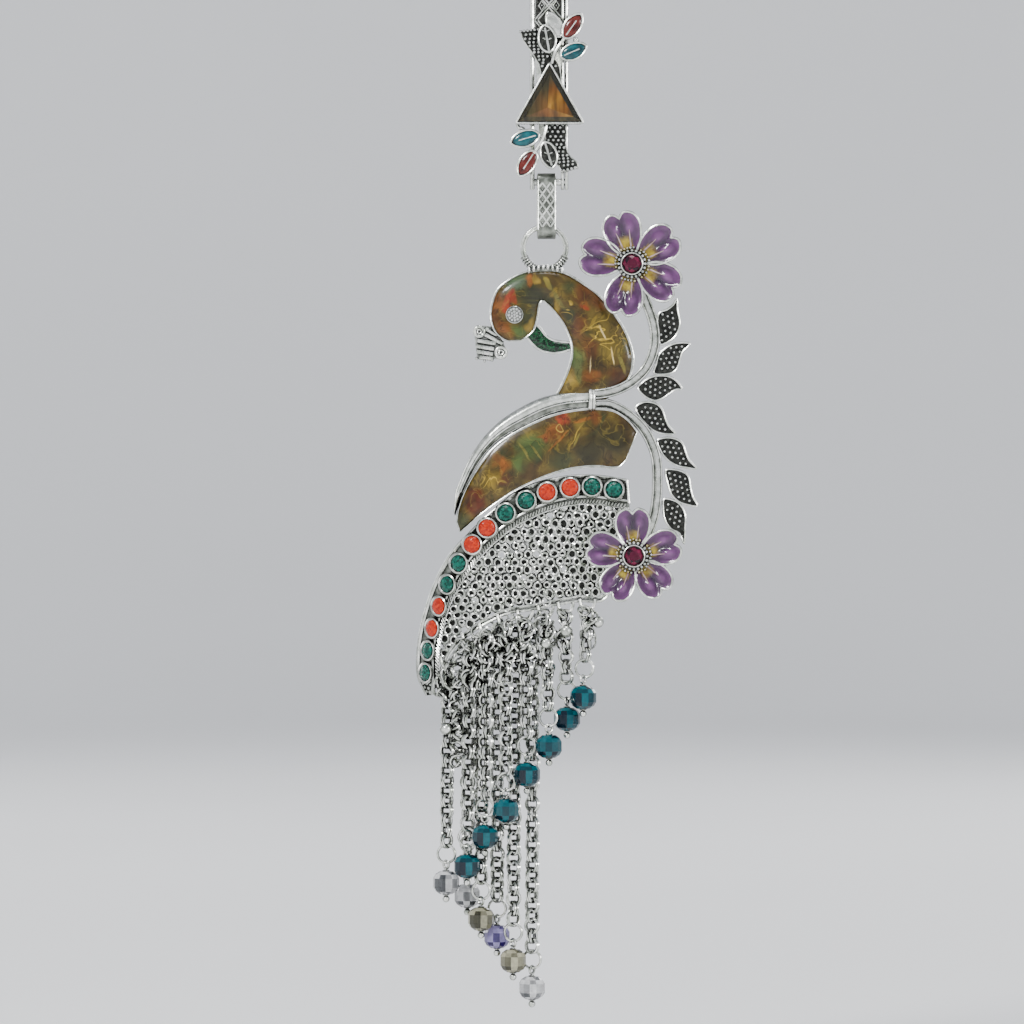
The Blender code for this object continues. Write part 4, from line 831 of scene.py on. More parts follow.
def trunk():
    """The trunk: a dark ribbon with edge wires, covered with granules."""
    shape = Shape()
    edge_y, end_y, granule_y, spacing = -4.15, -4.2, -4.4, 0.82
    rows = smooth(TRUNK_ROWS, 4)
    shape.slab(rows, BAR_FRONT + 0.5, ((0, -4.0), (0.2, -4.3), (0.8, -4.3), (1, -4.0)),
               strips={1: 1, 2: 1, 3: 1})
    for share in (0, 1):
        shape.tube(edge_line(rows, share, edge_y), 0.16, 6)
    for ax, az, bx, bz in (rows[0], rows[-1]):
        for k in range(6):
            place = Vector((ax, end_y, az)).lerp(Vector((bx, end_y, bz)), k / 5)
            shape.ball(place, random.uniform(0.33, 0.4))
    stagger, travelled, last = 0, 0.0, None
    for row in smooth(TRUNK_ROWS, 12):
        here = Vector(((row[0] + row[2]) / 2, (row[1] + row[3]) / 2))
        travelled += (here - (last or here)).length
        last = here
        if travelled < spacing:
            continue
        travelled -= spacing
        stagger = 1 - stagger
        for share in ((0.14, 0.38, 0.62, 0.86), (0.26, 0.5, 0.74))[stagger]:
            x, y, z = edge_line([row], share, granule_y)[0]
            under_stone = -33.0 < z < -21.0 and abs(x) < (-z - 20.4) * 0.6
            if not under_stone:
                shape.ball((x + random.uniform(-0.05, 0.05), y, z), random.uniform(0.35, 0.42))
    shape.made("hook_trunk", [SILVER, BLACK], ("hook_bar",), "root")


def motif_leaves():
    """Leaf cups, their midribs, the twigs, and a ball between the two upper leaves."""
    shape = Shape()
    for name, bx, bz, tx, tz, half, front in MOTIF_LEAVES:
        outline, middle = leaf_line((bx, bz), (tx, tz), half * LEAF_SPREAD, 0.16)
        bright = name == "upper_bright"
        near, far, ground = (0.0, -0.25, 0) if bright else (0.42, 0.42, 1)
        shape.pad(outline, middle[len(middle) // 2], LEAF_BACK,
                  ((1, front + 0.3), (0.9, front + near), (0.3, front + far)), 0, ground)
        shape.tube(flat(outline, front + 0.18), 0.24, 8, closed=True)
        if not name.endswith("dark"):
            continue
        shape.tube(flat(middle[2:-3], front + 0.25), 0.26, 8, squeeze=0.8)
        for share in (0.5, 0.7):
            at = Vector(middle[int(len(middle) * share)])
            for side in (-1, 1):
                tip = (at.x + side * half * 0.5, front + 0.34, at.y + 0.35)
                shape.tube([(at.x, front + 0.3, at.y), tip], 0.1, 5)
    for twig in TWIGS:
        shape.tube(smooth(twig, 4), 0.34, 8)
    shape.ball((5.4, -5.2, -17.2), 0.62, sides=12, rows=8)
    shape.made("hook_leaves", [SILVER, BLACK], ("hook_bar",), "root")


def motif_enamels():
    """Glossy fields with a pale raised streak along each."""
    for name, bx, bz, tx, tz, half, front in MOTIF_LEAVES:
        colour = name.split("_")[1]
        if colour in ENAMELS:
            shape = Shape()
            outline, middle = leaf_line((bx, bz), (tx, tz), half * LEAF_SPREAD, 0.4)
            shape.pad(outline, middle[len(middle) // 2], front + 0.35, (
                (1, front + 0.2), (0.85, front + 0.05), (0.5, front - 0.05), (0.1, front - 0.08)))
            shape.tube(flat(middle[4:-5], front + 0.02), 0.15, 6, 1)
            shape.made(f"{name}_enamel_field", [ENAMELS[colour], SILVER], (f"{name}_enamel",),
                       "root", f"{colour}_enamel")


def triangle():
    """The stone cup with its bright rim, beaded along the base, and the cut stone."""
    cup, stone = Shape(), Shape()
    front = STONE_CUP_FRONT
    corners = [Vector(corner) for corner in TRIANGLE]
    centre = (corners[0] + corners[1] + corners[2]) / 3
    corners = [corner + Vector((0, TRIANGLE_DROP)) for corner in corners]
    centre.y += TRIANGLE_DROP
    rim = []
    for k in range(3):
        a, b, c = corners[k - 1], corners[k], corners[(k + 1) % 3]
        rim += [tuple(b + (a - b).normalized() * 0.5), tuple(b + (centre - b) * 0.02),
                tuple(b + (c - b).normalized() * 0.5)]
    cup.pad(rim, tuple(centre), BAR_FRONT + 0.2, (
        (1, front + 0.25), (0.94, front + 0.1), (0.9, front + 0.9), (0.1, front + 0.9)), 1)
    cup.tube(flat(rim, front + 0.2), 0.22, 8, closed=True)
    first_bead, bead_span, beads, beads_z = -6.0, 12.2, 24, -33.95
    for k in range(beads):
        cup.ball((first_bead + bead_span * k / (beads - 1), front + 0.15, beads_z), 0.22)
    cup.made("triangle_cup", [SILVER, BLACK], ("hook_bar",), "root")
    girdle, table = ([centre + (corner - centre) * share for corner in corners]
                     for share in (0.92, 0.7))
    base_y, table_y, keel_y = -5.0, -6.45, -6.85
    keel = Vector((-0.3, -30.8))
    painted_facet_light = (  # painted light and shade of the edge facet, then of the field at its first corner, middle, last corner, keel
        (0.1, 0.12, 0.32, 0.2, 0.42), (0.22, 0.26, 0.5, 0.9, 0.55), (0.04, 0.3, 0.72, 0.15, 0.85))
    levels = ((girdle, base_y), (girdle, front + 0.05), (table, table_y))
    stone.add([(p.x, base_y, p.y) for p in girdle], [(0, 1, 2)])
    for k in range(3):
        n = (k + 1) % 3
        for (low, low_y), (high, high_y), tone in zip(levels, levels[1:], (0.0, painted_facet_light[k][0])):
            facet = ((low[k], low_y), (low[n], low_y), (high[n], high_y), (high[k], high_y))
            stone.add([(p.x, y, p.y) for p, y in facet], [(0, 1, 2, 3)], tints=[(tone, 0)] * 4)
        field = ((table[k], table_y), ((table[k] + table[n]) / 2, table_y), (table[n], table_y),
                 (keel, keel_y))
        stone.add([(p.x, y, p.y) for p, y in field], [(0, 1, 3), (1, 2, 3)],
                  tints=[(tone, 0) for tone in painted_facet_light[k][1:]])
    stone.made("triangle_stone_cut", [AMBER_STONE], ("triangle_stone",), "root", "amber", 0)


# The bail and the ring

def bail():
    """The strip's loop with raised edges and a lattice on its front."""
    shape = Shape()
    x, y, top = BAIL_AXIS
    bottom = BAIL_BOTTOM + BAIL_INNER
    wide, bevel, wire, half = BAIL_HALF_WIDTH, 0.15, 0.2, half_turn(12)

    def loop(radius):
        over = [(y + radius * math.cos(a), top + radius * math.sin(a)) for a in half]
        return over + [(y - radius * math.cos(a), bottom - radius * math.sin(a)) for a in half]

    loops = [loop(BAIL_INNER + BAIL_STRIP * share) for share in (0, 1, 0.5)]
    shape.skin([[(x - wide, *inner), (x - wide, *mid), (x - wide + bevel, *outer),
                 (x + wide - bevel, *outer), (x + wide, *mid), (x + wide, *inner)]
                for inner, outer, mid in zip(*loops)], closed=True, strips={2: 1})
    front = y - BAIL_INNER - BAIL_STRIP
    for side in (-1, 1):
        edge = x + side * (wide - wire)
        shape.tube([(edge, front, top + 0.3), (edge, front, bottom)], wire, 8)
    span, drop, pitch = 1.6, 4.4, 2.2
    for row in range(int((top - bottom + drop) / pitch)):
        z = top + drop / 2 - pitch * (row + 0.6)
        for side in (-1, 1):
            start, end = Vector((-span * side, z + drop / 2)), Vector((span * side, z - drop / 2))
            inside = [place for place in (start.lerp(end, k / 4) for k in range(5))
                      if bottom < place.y < top + 0.4]
            if len(inside) > 1:
                shape.tube([(x + place.x, front, place.y) for place in (inside[0], inside[-1])],
                           wire, 6)
    for row in range(4):
        for dx in (-0.8, 0.8):
            shape.ball((x + dx, front - 0.05, top - 1.55 - pitch * row), 0.2)
    shape.made("bail_strip", [SILVER, OXIDE_AND_SHADE], ("bail",), "bail")


def ring():
    """The pendant's ring, split along its band and wound below, on a granulated foot."""
    shape = Shape()
    for spread, wire, sides, ground in ((-0.24, 0.31, 10, 0), (0.24, 0.31, 10, 0), (0, 0.33, 8, 1)):
        shape.hoop(RING_CENTRE, RING_RADIUS + spread, wire, sides=48, wire_sides=sides, look=ground)
    windings, first_angle, angle_step = 9, 0.1, 0.13
    for side in (-1, 1):
        for k in range(windings):
            angle = -math.pi / 2 + side * (first_angle + angle_step * k)
            out = Vector((math.cos(angle), 0, math.sin(angle)))
            lean = (-out.z, 0.3, out.x)
            shape.hoop(RING_CENTRE + out * (RING_RADIUS + 0.12), RING_WIRE + 0.1, 0.17, lean, 12, 6)
    foot = (  # upper x, upper z, lower x, lower z, from the left
        (-4.3, -63.5, -4.0, -63.9), (-3.4, -62.5, -3.0, -63.6), (-1.8, -62.0, -1.6, -63.4),
        (0.2, -62.0, 0.2, -63.4), (1.6, -62.4, 1.6, -63.5), (2.8, -63.1, 2.6, -63.8))
    shape.slab(smooth(foot, 3), BACK, ((0.05, -3.6), (0.5, -4.4), (0.95, -4.2)), 1)
    for share in (k / 7 for k in range(8)):
        x, z = -4.0 + 6.6 * share, -63.1 + 0.6 * math.sin(math.pi * share)
        shape.tube([(x, -4.3, z + 0.45), (x, -4.6, z), (x, -4.3, z - 0.45)], (0.26, 0.4, 0.26), 8)
    shape.made("ring_and_foot", [SILVER, OXIDE_AND_SHADE], ("body_frame",))


# The bird

def drawn_in(rows, inset):
    """Rows drawn in from both edges by the inset."""
    result = []
    for ax, az, bx, bz in rows:
        width = Vector((bx - ax, bz - az))
        step = width.normalized() * min(inset, width.length * 0.4)
        result.append((ax + step.x, az + step.y, bx - step.x, bz - step.y))
    return result


def rim(shape, rows, y, radius):
    """A wire round the rows' whole edge."""
    shape.tube(edge_line(rows, 0, y) + edge_line(rows, 1, y)[::-1], radius, 8, closed=True)


TRAY_BACK = BACK - 0.08  # the trays' backs lie inside the branch's


def bird_trays():
    """Thin silver trays of the neck, the wing and the beak, each with its edge wire."""
    shape = Shape()
    wall = 0.03  # of the width
    for rows, front, wire, y in ((NECK_ROWS, -3.3, 0.15, -4.1), (WING_ROWS, -3.0, 0.14, -4.1),
                                 (BEAK_ROWS, -3.2, 0.26, -3.85)):
        fine = smooth(rows, 4)
        shape.slab(fine, TRAY_BACK, level(front))
        shape.slab(part_of(fine, 0, wall), TRAY_BACK, level(y))
        shape.slab(part_of(fine, 1 - wall, 1), TRAY_BACK, level(y))
        rim(shape, fine, y, wire)
    shape.swept().made("bird_trays", [SILVER], ("body_frame",))


END_ROWS = 5  # over which the resin sinks to its ends


def resin(name, rows, filling, back, edge, crown, slot, replaced):
    """A glossy domed filling between two edges, sinking to its ends.

    back, edge and crown are the y of its back, of its rim and of its highest line.
    """
    shape = Shape()
    fine, fullness = drawn_in(smooth(rows, 5), 0.22), 0.6
    profile = [(share, edge - (edge - crown) * math.sin(math.pi * share) ** fullness)
               for share in (0.06, 0.14, 0.26, 0.4, 0.5, 0.6, 0.74, 0.86, 0.94)]
    profile = [(0.0, edge), *profile, (1.0, edge)]
    rings = []
    for index, row in enumerate(fine):
        ends = clamped(min(index, len(fine) - 1 - index) / END_ROWS)
        rise = math.sqrt(ends * (2 - ends))
        risen = [(share, edge + (y - edge) * rise) for share, y in profile]
        rings.append(section(row, back, risen))
    shape.skin(rings)
    shape.swept().made(name, [filling], (replaced,), slot=slot, smooth_angle=60)


def eye():
    """A pave disc: small clear stones in a silver cup."""
    shape = Shape()
    front = -5.35
    shape.lathe((EYE.x, 0, EYE.z), ((0.05, -3.2), (1.6, -3.2), (1.74, front), (1.6, front - 0.12),
                                    (1.5, front + 0.15), (0.05, front + 0.15)), 24)
    for count, radius in ((1, 0.0), (6, 0.58), (12, 1.16)):
        for angle in angles(count):
            shape.ball(round_at(EYE.x, front + 0.05, EYE.z, radius, angle + radius), 0.29, 1, 6, 4)
    shape.made("eye_pave", [SILVER, CRYSTAL], ("eye_stone",), slot="clear_glass", smooth_angle=0)


def coiled(shape, start, end, radius, wire, turns):
    """A wire wound along a line, like a spring."""
    start, end, deep = Vector(start), Vector(end), Vector((0, 1, 0))
    side = (end - start).normalized().cross(deep).normalized()
    steps = int(turns * 8)
    path = []
    for k in range(steps + 1):
        angle = TAU * k / 8
        out = side * math.cos(angle) + deep * math.sin(angle)
        path.append(start + (end - start) * (k / steps) + out * radius)
    shape.tube(path, wire, 6)


def crest():
    """Two coils and six wound rolls on a dark plate, joined to the cheek."""
    shape = Shape()
    plate = (  # x, z round it
        (-14.9, -75.4), (-14.0, -74.2), (-11.4, -74.4), (-9.6, -76.6), (-8.6, -79.2),
        (-9.6, -80.6), (-14.0, -80.9), (-14.5, -79.4))
    shape.pad(smooth(plate, 3, True), (-12.0, -77.8), -2.4, ((1, -2.85), (0.1, -2.95)))
    roll_y = -3.1
    for x, z, radius in ((-13.95, -75.3, 0.95), (-9.6, -79.5, 1.05)):
        shape.hoop((x, -3.35, z), radius, 0.36, sides=28, wire_sides=10)
        shape.hoop((x, -3.2, z), radius * 0.45, 0.2, sides=16)
    for ax, az, bx, bz in (  # each roll's ends
            (-12.7, -74.7, -10.4, -76.0), (-12.8, -75.9, -9.3, -77.7),
            (-14.3, -77.1, -10.7, -77.7), (-14.6, -78.2, -11.0, -78.8),
            (-14.4, -79.3, -11.2, -79.8), (-13.9, -80.4, -11.3, -80.7)):
        ends = (ax, roll_y, az), (bx, roll_y, bz)
        shape.tube(ends, 0.48, 8)
        coiled(shape, *ends, 0.38, 0.17, 7)
    shape.tube([(-10.6, -2.95, -76.0), (-10.2, -2.95, -75.2)], 0.45, 8)
    for x, z in ((-11.4, -74.1), (-14.5, -80.7), (-12.9, -81.2), (-11.4, -81.0)):
        shape.ball((x, -3.2, z), 0.36)
    shape.made("crest", [SILVER, OXIDE_AND_SHADE], ("body_frame",))


def ribbon_rows(points, half):
    """Rows across a centre line, the left edge first."""
    rows = []
    for before, (x, z), after in zip([points[0]] + points[:-1], points, points[1:] + [points[-1]]):
        along = Vector((after[0] - before[0], after[1] - before[1])).normalized()
        side = Vector((-along.y, along.x)) * half
        rows.append((x + side.x, z + side.y, x - side.x, z - side.y))
    return rows


FORK_LIFT, FORK_LOW_FROM = 0.9, 18.5  # the upper fork starts on top of the neck's edge


def branch():
    """The bright branch with its inner bevel painted darker as shade, the collar and the two forks,
    one side of each painted darker as shade too.
    """
    shape = Shape()
    fine = smooth(BRANCH_ROWS, 5)
    # The inner bevel takes the dark silver as painted shade
    shape.slab(fine, BACK, ((0.0, -3.9), (0.05, -4.4), (0.14, -4.8), (0.28, -5.05), (0.42, -5.0),
                            (0.55, -4.8), (0.62, -4.55), (0.7, -4.2), (0.86, -3.9), (0.92, -3.95),
                            (1.0, -3.3)), strips={7: 1, 8: 1, 9: 1, 10: 1})
    for share, y, wire in ((0.6, -4.9, 0.13), (0.9, -3.95, 0.11)):
        shape.tube(edge_line(fine[6:], share, y), wire, 6)
    shape.swept()
    for fork, half in ((LOWER_FORK, 1.05), (UPPER_FORK, 1.02)):
        first = len(shape.points)
        rows = ribbon_rows(smooth(fork, 6), half)
        # One side of each fork takes the dark silver as painted shade
        shape.slab(rows, -2.4, ((0.0, -3.1), (0.06, -3.7), (0.28, -4.2), (0.6, -4.25),
                                (0.68, -4.05), (0.9, -3.75), (1.0, -3.1)), strips={5: 1, 6: 1})
        for share, y in ((0.12, -3.98), (0.88, -3.85)):
            shape.tube(edge_line(rows, share, y), 0.15, 6)
    for point in shape.points[first:]:  # the upper fork's
        point.y -= FORK_LIFT * clamped((FORK_LOW_FROM - point.x) / 4)
    for x, wire in ((8.3, 0.42), (8.95, 0.3)):
        over = ((-3.9, -86.5), (-4.8, -87.2), (-5.1, -88.8), (-4.8, -90.4), (-3.9, -91.1))
        shape.tube(smooth([(x, y, z) for y, z in over], 4), wire, 8)
    shape.tube([(8.62, -3.4, -87.0), (8.62, -3.4, -90.6)], 1.2, 12, 1)
    shape.made("branch", [SILVER, OXIDE_AND_SHADE], ("body_frame",))


def spray_leaves():
    """Seven leaves: dark ground, bright edge wire, staggered granules."""
    shape = Shape()
    pitch, row_step, margin = 1.12, 0.87, 0.5
    for corners in SPRAY_LEAVES:
        outline = smooth(corners, 3, True)
        centre = Vector((sum(x for x, _ in corners), sum(z for _, z in corners))) / len(corners)
        shape.pad(outline, centre, BACK - 0.3, ((1, -3.2), (0.9, -3.15), (0.1, -3.15)), 0, 1)
        shape.tube(flat(outline, -3.42), 0.21, 8, closed=True)
        along = (Vector(corners[0]) - centre).normalized()
        side = Vector((-along.y, along.x))
        for row in range(-6, 7):
            for column in range(-3, 4):
                place = centre + along * (row * pitch * row_step)
                place += side * ((column + 0.5 * (row % 2)) * pitch)
                if inside_by(tuple(place), outline) > margin:
                    shape.ball((place.x, -3.3, place.y), random.uniform(0.33, 0.39))
    shape.made("spray_leaves", [SILVER, BLACK], ("body_frame",))


# The flowers

HALF_PETAL = (  # along the petal, across it, from under the bezel to the notch
    (2.2, 1.5), (4.2, 3.0), (6.2, 3.75), (8.2, 3.9), (9.9, 3.2), (10.8, 1.7), (10.5, 0.7),
    (9.7, 0.0),
)
PETAL_HEART, PETAL_DIP = 5.6, 0.55  # where it is drawn in to, and the enamel's depth
PETAL_VEIN = (  # along the petal, across it, height
    (3.4, 0.85, 0.1), (4.4, 1.0, 0.2), (5.4, 1.15, 0.26), (6.3, 1.3, 0.3), (7.0, 1.45, 0.42),
)


def petal_line():
    """One petal's smooth heart-shaped outline, along and across."""
    half = smooth(HALF_PETAL, 4)
    return [(u, v) for u, v in half] + [(u, -v) for u, v in half[-2::-1]]


def petal_lift(u):
    """How far a petal rises towards its tip."""
    return -1.3 * (u / 11 - 0.3)


def petal_swell(u, v):
    """1 on the swells on both sides of a petal's notch, falling to 0 round them."""
    return math.exp(-((u - 7.5) / 1.5) ** 2 - ((abs(v) - 1.5) / 0.85) ** 2)


def petal_basin(share, u, v):
    """The enamel's depth below the rim: swells beside the notch, hollows outside them."""
    hollow = 0.2 * math.exp(-((u - 6.6) / 2.2) ** 2 - (v / 0.5) ** 2)
    return PETAL_DIP * (1 - share ** 3) + (hollow - 0.55 * petal_swell(u, v)) * (1 - share ** 6)


def petal_yellow_and_painted_light(share, u, v):
    """The share of yellow at a point of a petal, and its painted light: highlight on the swells,
    shade along the middle, paler towards the rim.
    """
    yellow = clamped((6.1 - u) / 1.2) * clamped((1.55 - abs(v)) / 0.5)
    # Painted highlight on the swells and painted shade along the middle of the petal
    pale = 0.12 + 0.5 * petal_swell(u, v) + 0.4 * share ** 4 - 0.12 * math.exp(-(v / 0.6) ** 2)
    return yellow, clamped(pale)


def flower(name, x, z, scale, turns):
    """Cupped petals: silver rims and backs, enamel within, ridges at the heart."""
    silver, enamel, stone = Shape(), Shape(), Shape()
    outline = petal_line()
    front, enamel_depth, floor_depth = FLOWER_BACK - 1.15, 0.08, 0.18
    for turn in turns:
        angle = math.radians(turn)
        along = Vector((math.cos(angle), 0, math.sin(angle)))
        across = Vector((along.z, 0, -along.x))

        def place(u, v, y):
            return Vector((x, y, z)) + (along * u + across * v) * scale

        def shrunk(share, spread=1.0):
            """The outline drawn towards the petal's heart."""
            return [(PETAL_HEART + (u - PETAL_HEART) * share * spread, v * share * spread)
                    for u, v in outline]

        field, floor, tints = [], [], []
        for share in (1.0, 0.94, 0.86, 0.74, 0.6, 0.45, 0.3, 0.15, 0.04):
            line = shrunk(share, 0.96)
            bed = [front + petal_lift(u) + petal_basin(share, u, v) for u, v in line]
            for rings, depth in ((field, enamel_depth), (floor, floor_depth)):
                rings.append([place(u, v, y + depth) for (u, v), y in zip(line, bed)])
            tints += [petal_yellow_and_painted_light(share, u, v) for u, v in line]
        enamel.skin(floor[::-1] + field, tints=[(0, 0.2)] * len(tints) + tints)
        silver.tube([place(u, v, front + petal_lift(u) + 0.02 + random.uniform(-0.03, 0.03))
                     for u, v in outline], 0.25, 8, closed=True)
        hull = [[place(u, v, y + petal_lift(u)) for u, v in shrunk(share)] for share, y in (
            (1.0, front + 0.1), (0.97, FLOWER_BACK - 0.3), (0.8, FLOWER_BACK),
            (0.1, FLOWER_BACK + 0.1))]
        back = [[point + Vector((0, 0.05, 0)) for point in ring] for ring in floor[::-1]]
        silver.skin(back + hull)
        for side in (-1, 1):
            ridge = [tuple(place(u, side * v, front + petal_lift(u) + 0.5 - height))
                     for u, v, height in PETAL_VEIN]
            line = smooth(ridge, 3)
            silver.tube(line, [0.2 - 0.011 * k for k in range(len(line))], 6, 2)
    front, bezel_radius = FLOWER_BACK - 1.0, 2.65
    silver.lathe((x, 0, z), (
        (0.1, FLOWER_BACK), (2.7, FLOWER_BACK), (2.7, front - 0.2), (2.3, front - 0.5),
        (2.25, front - 0.85), (2.05, front - 0.95), (1.9, front - 0.8), (1.85, front - 0.3),
        (0.1, front - 0.2)), 40)
    for angle in angles(20):
        silver.ball(round_at(x, front - 0.5, z, bezel_radius, angle), 0.41)
    for turn in turns:
        for k in range(5):
            angle = math.radians(turn + 11 * (k - 2))
            place = round_at(x, front - 0.3, z, random.uniform(3.2, 3.5), angle)
            silver.ball(place, random.uniform(0.3, 0.38), random.choice((0, 3)))
    silver.made(f"{name}_silver", [SILVER, BLACK, PETAL_RIDGE, GILT], (name,))
    enamel.made(f"{name}_petals", [PETAL], (f"{name}_enamel",), slot="purple_enamel",
                smooth_angle=50)
    brilliant(stone, (x, front - 0.45, z), 1.84)
    stone.made(f"{name}_gem", [GARNET], (f"{name}_stone",), slot="garnet", smooth_angle=0)


def brilliant(shape, centre, radius, squeeze=1.0):
    """A round cut: pavilion, girdle, two rows of crown facets and a table."""
    sides, (cx, cy, cz) = 8, centre
    levels = ((0.02, 0.55, 0), (1.0, 0.05, 0), (1.0, -0.1, 0), (0.82, -0.38, 0.5), (0.55, -0.6, 0))
    rings = []
    for share, height, twist in levels:
        rings.append([(cx + radius * share * math.cos(a) * squeeze, cy + height,
                       cz + radius * share * math.sin(a)) for a in angles(sides, twist)])
    shape.add(sum(rings, []), facets(sides, [twist for *_, twist in levels]) + end_caps(rings))


# The tail

def inside_by(point, outline):
    """How far a point lies inside an outline, negative outside."""
    x, z = point
    inside, nearest = False, 1e9
    for (ax, az), (bx, bz) in zip(outline, outline[1:] + outline[:1]):
        if (az > z) != (bz > z) and x < ax + (z - az) * (bx - ax) / (bz - az):
            inside = not inside
        edge, offset = Vector((bx - ax, bz - az)), Vector((x - ax, z - az))
        share = clamped(offset.dot(edge) / edge.length_squared)
        nearest = min(nearest, (offset - edge * share).length)
    return nearest if inside else -nearest


def toward_net(x, z):
    """The direction in the picture from the band's outer edge to its inner edge."""
    row = min(BAND_ROWS, key=lambda r: (r[0] + r[2] - 2 * x) ** 2 + (r[1] + r[3] - 2 * z) ** 2)
    return Vector((row[2] - row[0], row[3] - row[1])).normalized()


ROPE_WIDTH, ROPE_STEP, ROPE_END = 1.15, 0.62, -145.5
COLLET = ((1.5, -2.7), (2.25, -2.7), (2.22, -3.9), (2.08, -4.22), (1.8, -4.36), (1.64, -4.2),
          (1.6, -3.2), (1.5, -2.7))  # radius, y
COLLET_LIP = ((1.7, -2.8), (2.3, -2.8), (2.22, -3.7), (2.0, -3.95), (1.7, -2.8))
COLLET_FLOOR = ((0.1, -2.8), (1.75, -2.8), (1.75, -3.4), (0.1, -3.4))
CORAL_DOME = ((0.1, -3.5), (1.7, -3.5), (1.7, -4.1), (1.5, -4.35), (1.0, -4.5), (0.05, -4.55))
TAIL_TIP_GRANULES = (  # x, z
    (-25.45, -146.0), (-24.6, -145.9), (-23.8, -146.1), (-25.05, -146.75), (-24.2, -146.9),
    (-24.7, -147.6), (-23.95, -147.65),
)


def tail_band():
    """The stone band: dark floor, edge wires, rope border, collets."""
    shape = Shape()
    back, floor_y, wire_y = BACK - 0.2, -2.9, -3.3
    fine = smooth(BAND_ROWS, 5)
    shape.slab(fine, back, [(share, floor_y) for share in (0.0, 0.06, 0.94, 1.0)], strips={2: 1})
    shape.slab(part_of(fine, 0, 0.14), back, ((0.0, -3.1), (0.25, -3.5), (1.0, -3.15)))
    for share, wire in ((0, 0.22), (0.92, 0.28)):
        shape.tube(edge_line(fine, share, wire_y), wire, 8)
    ax, az, bx, bz = fine[0]
    shape.tube([(ax, -3.25, az), (bx, -3.25, bz)], 0.34, 8)
    rope_border(shape)
    for x, z, _ in BAND_STONES:
        squeeze = foreshortening(x)
        shape.lathe((x, 0, z), COLLET, 28, squeeze=squeeze)
        lip = toward_net(x, z) * 0.22
        shape.lathe((x + lip.x, 0, z + lip.y), COLLET_LIP, 28, squeeze=squeeze)
        shape.lathe((x, 0, z), COLLET_FLOOR, 24, look=1, squeeze=squeeze)
    for x, z in TAIL_TIP_GRANULES:
        shape.ball((x, -3.0, z), 0.4)
    shape.swept().made("tail_band", [SILVER, OXIDE_AND_SHADE], ("tail_frame",))


def rope_border(shape):
    """A bed inside the band's inner edge, with the strokes of a rope and a wire along it."""
    bed, border, travelled = [], [], 0.0
    for ax, az, bx, bz in smooth(BAND_ROWS, 24):
        edge = Vector((bx, bz))
        if edge.y < ROPE_END:
            break
        inward = (edge - Vector((ax, az))).normalized()
        far = edge + inward * ROPE_WIDTH
        if border:
            travelled += (far - border[-1]).length
        if travelled > ROPE_STEP:
            travelled -= ROPE_STEP
            near = edge + inward * 0.25
            tip = far + (far - border[-1]).normalized() * 0.45 - inward * 0.15
            shape.tube([(near.x, -3.2, near.y), (tip.x, -3.2, tip.y)], 0.16, 5)
        border.append(far)
        bed.append((edge.x, edge.y, far.x, far.y))
    shape.slab(bed, -2.2, level(-3.0), 1)
    shape.tube(flat(border, -3.05), 0.17, 6)


def band_stones():
    """Emerald brilliants and smooth coral domes."""
    for number, (x, z, kind) in enumerate(BAND_STONES, 1):
        shape = Shape()
        emerald = kind == "emerald"
        if emerald:
            brilliant(shape, (x, -4.0, z), 1.64, foreshortening(x))
        else:
            shape.lathe((x, 0, z), CORAL_DOME, 20, squeeze=foreshortening(x))
        shape.swept().made(f"band_{kind}_{number:02d}", [EMERALD if emerald else CORAL],
                           (f"band_stone_{number:02d}",), slot=kind,
                           smooth_angle=0 if emerald else 40)


HANGING_LOOP = (  # x, z from where its strand hangs
    (-1.55, 1.1), (-1.4, 0.1), (-0.95, -0.85), (0.0, -1.25), (0.95, -0.85), (1.4, 0.1),
    (1.55, 1.1),
)


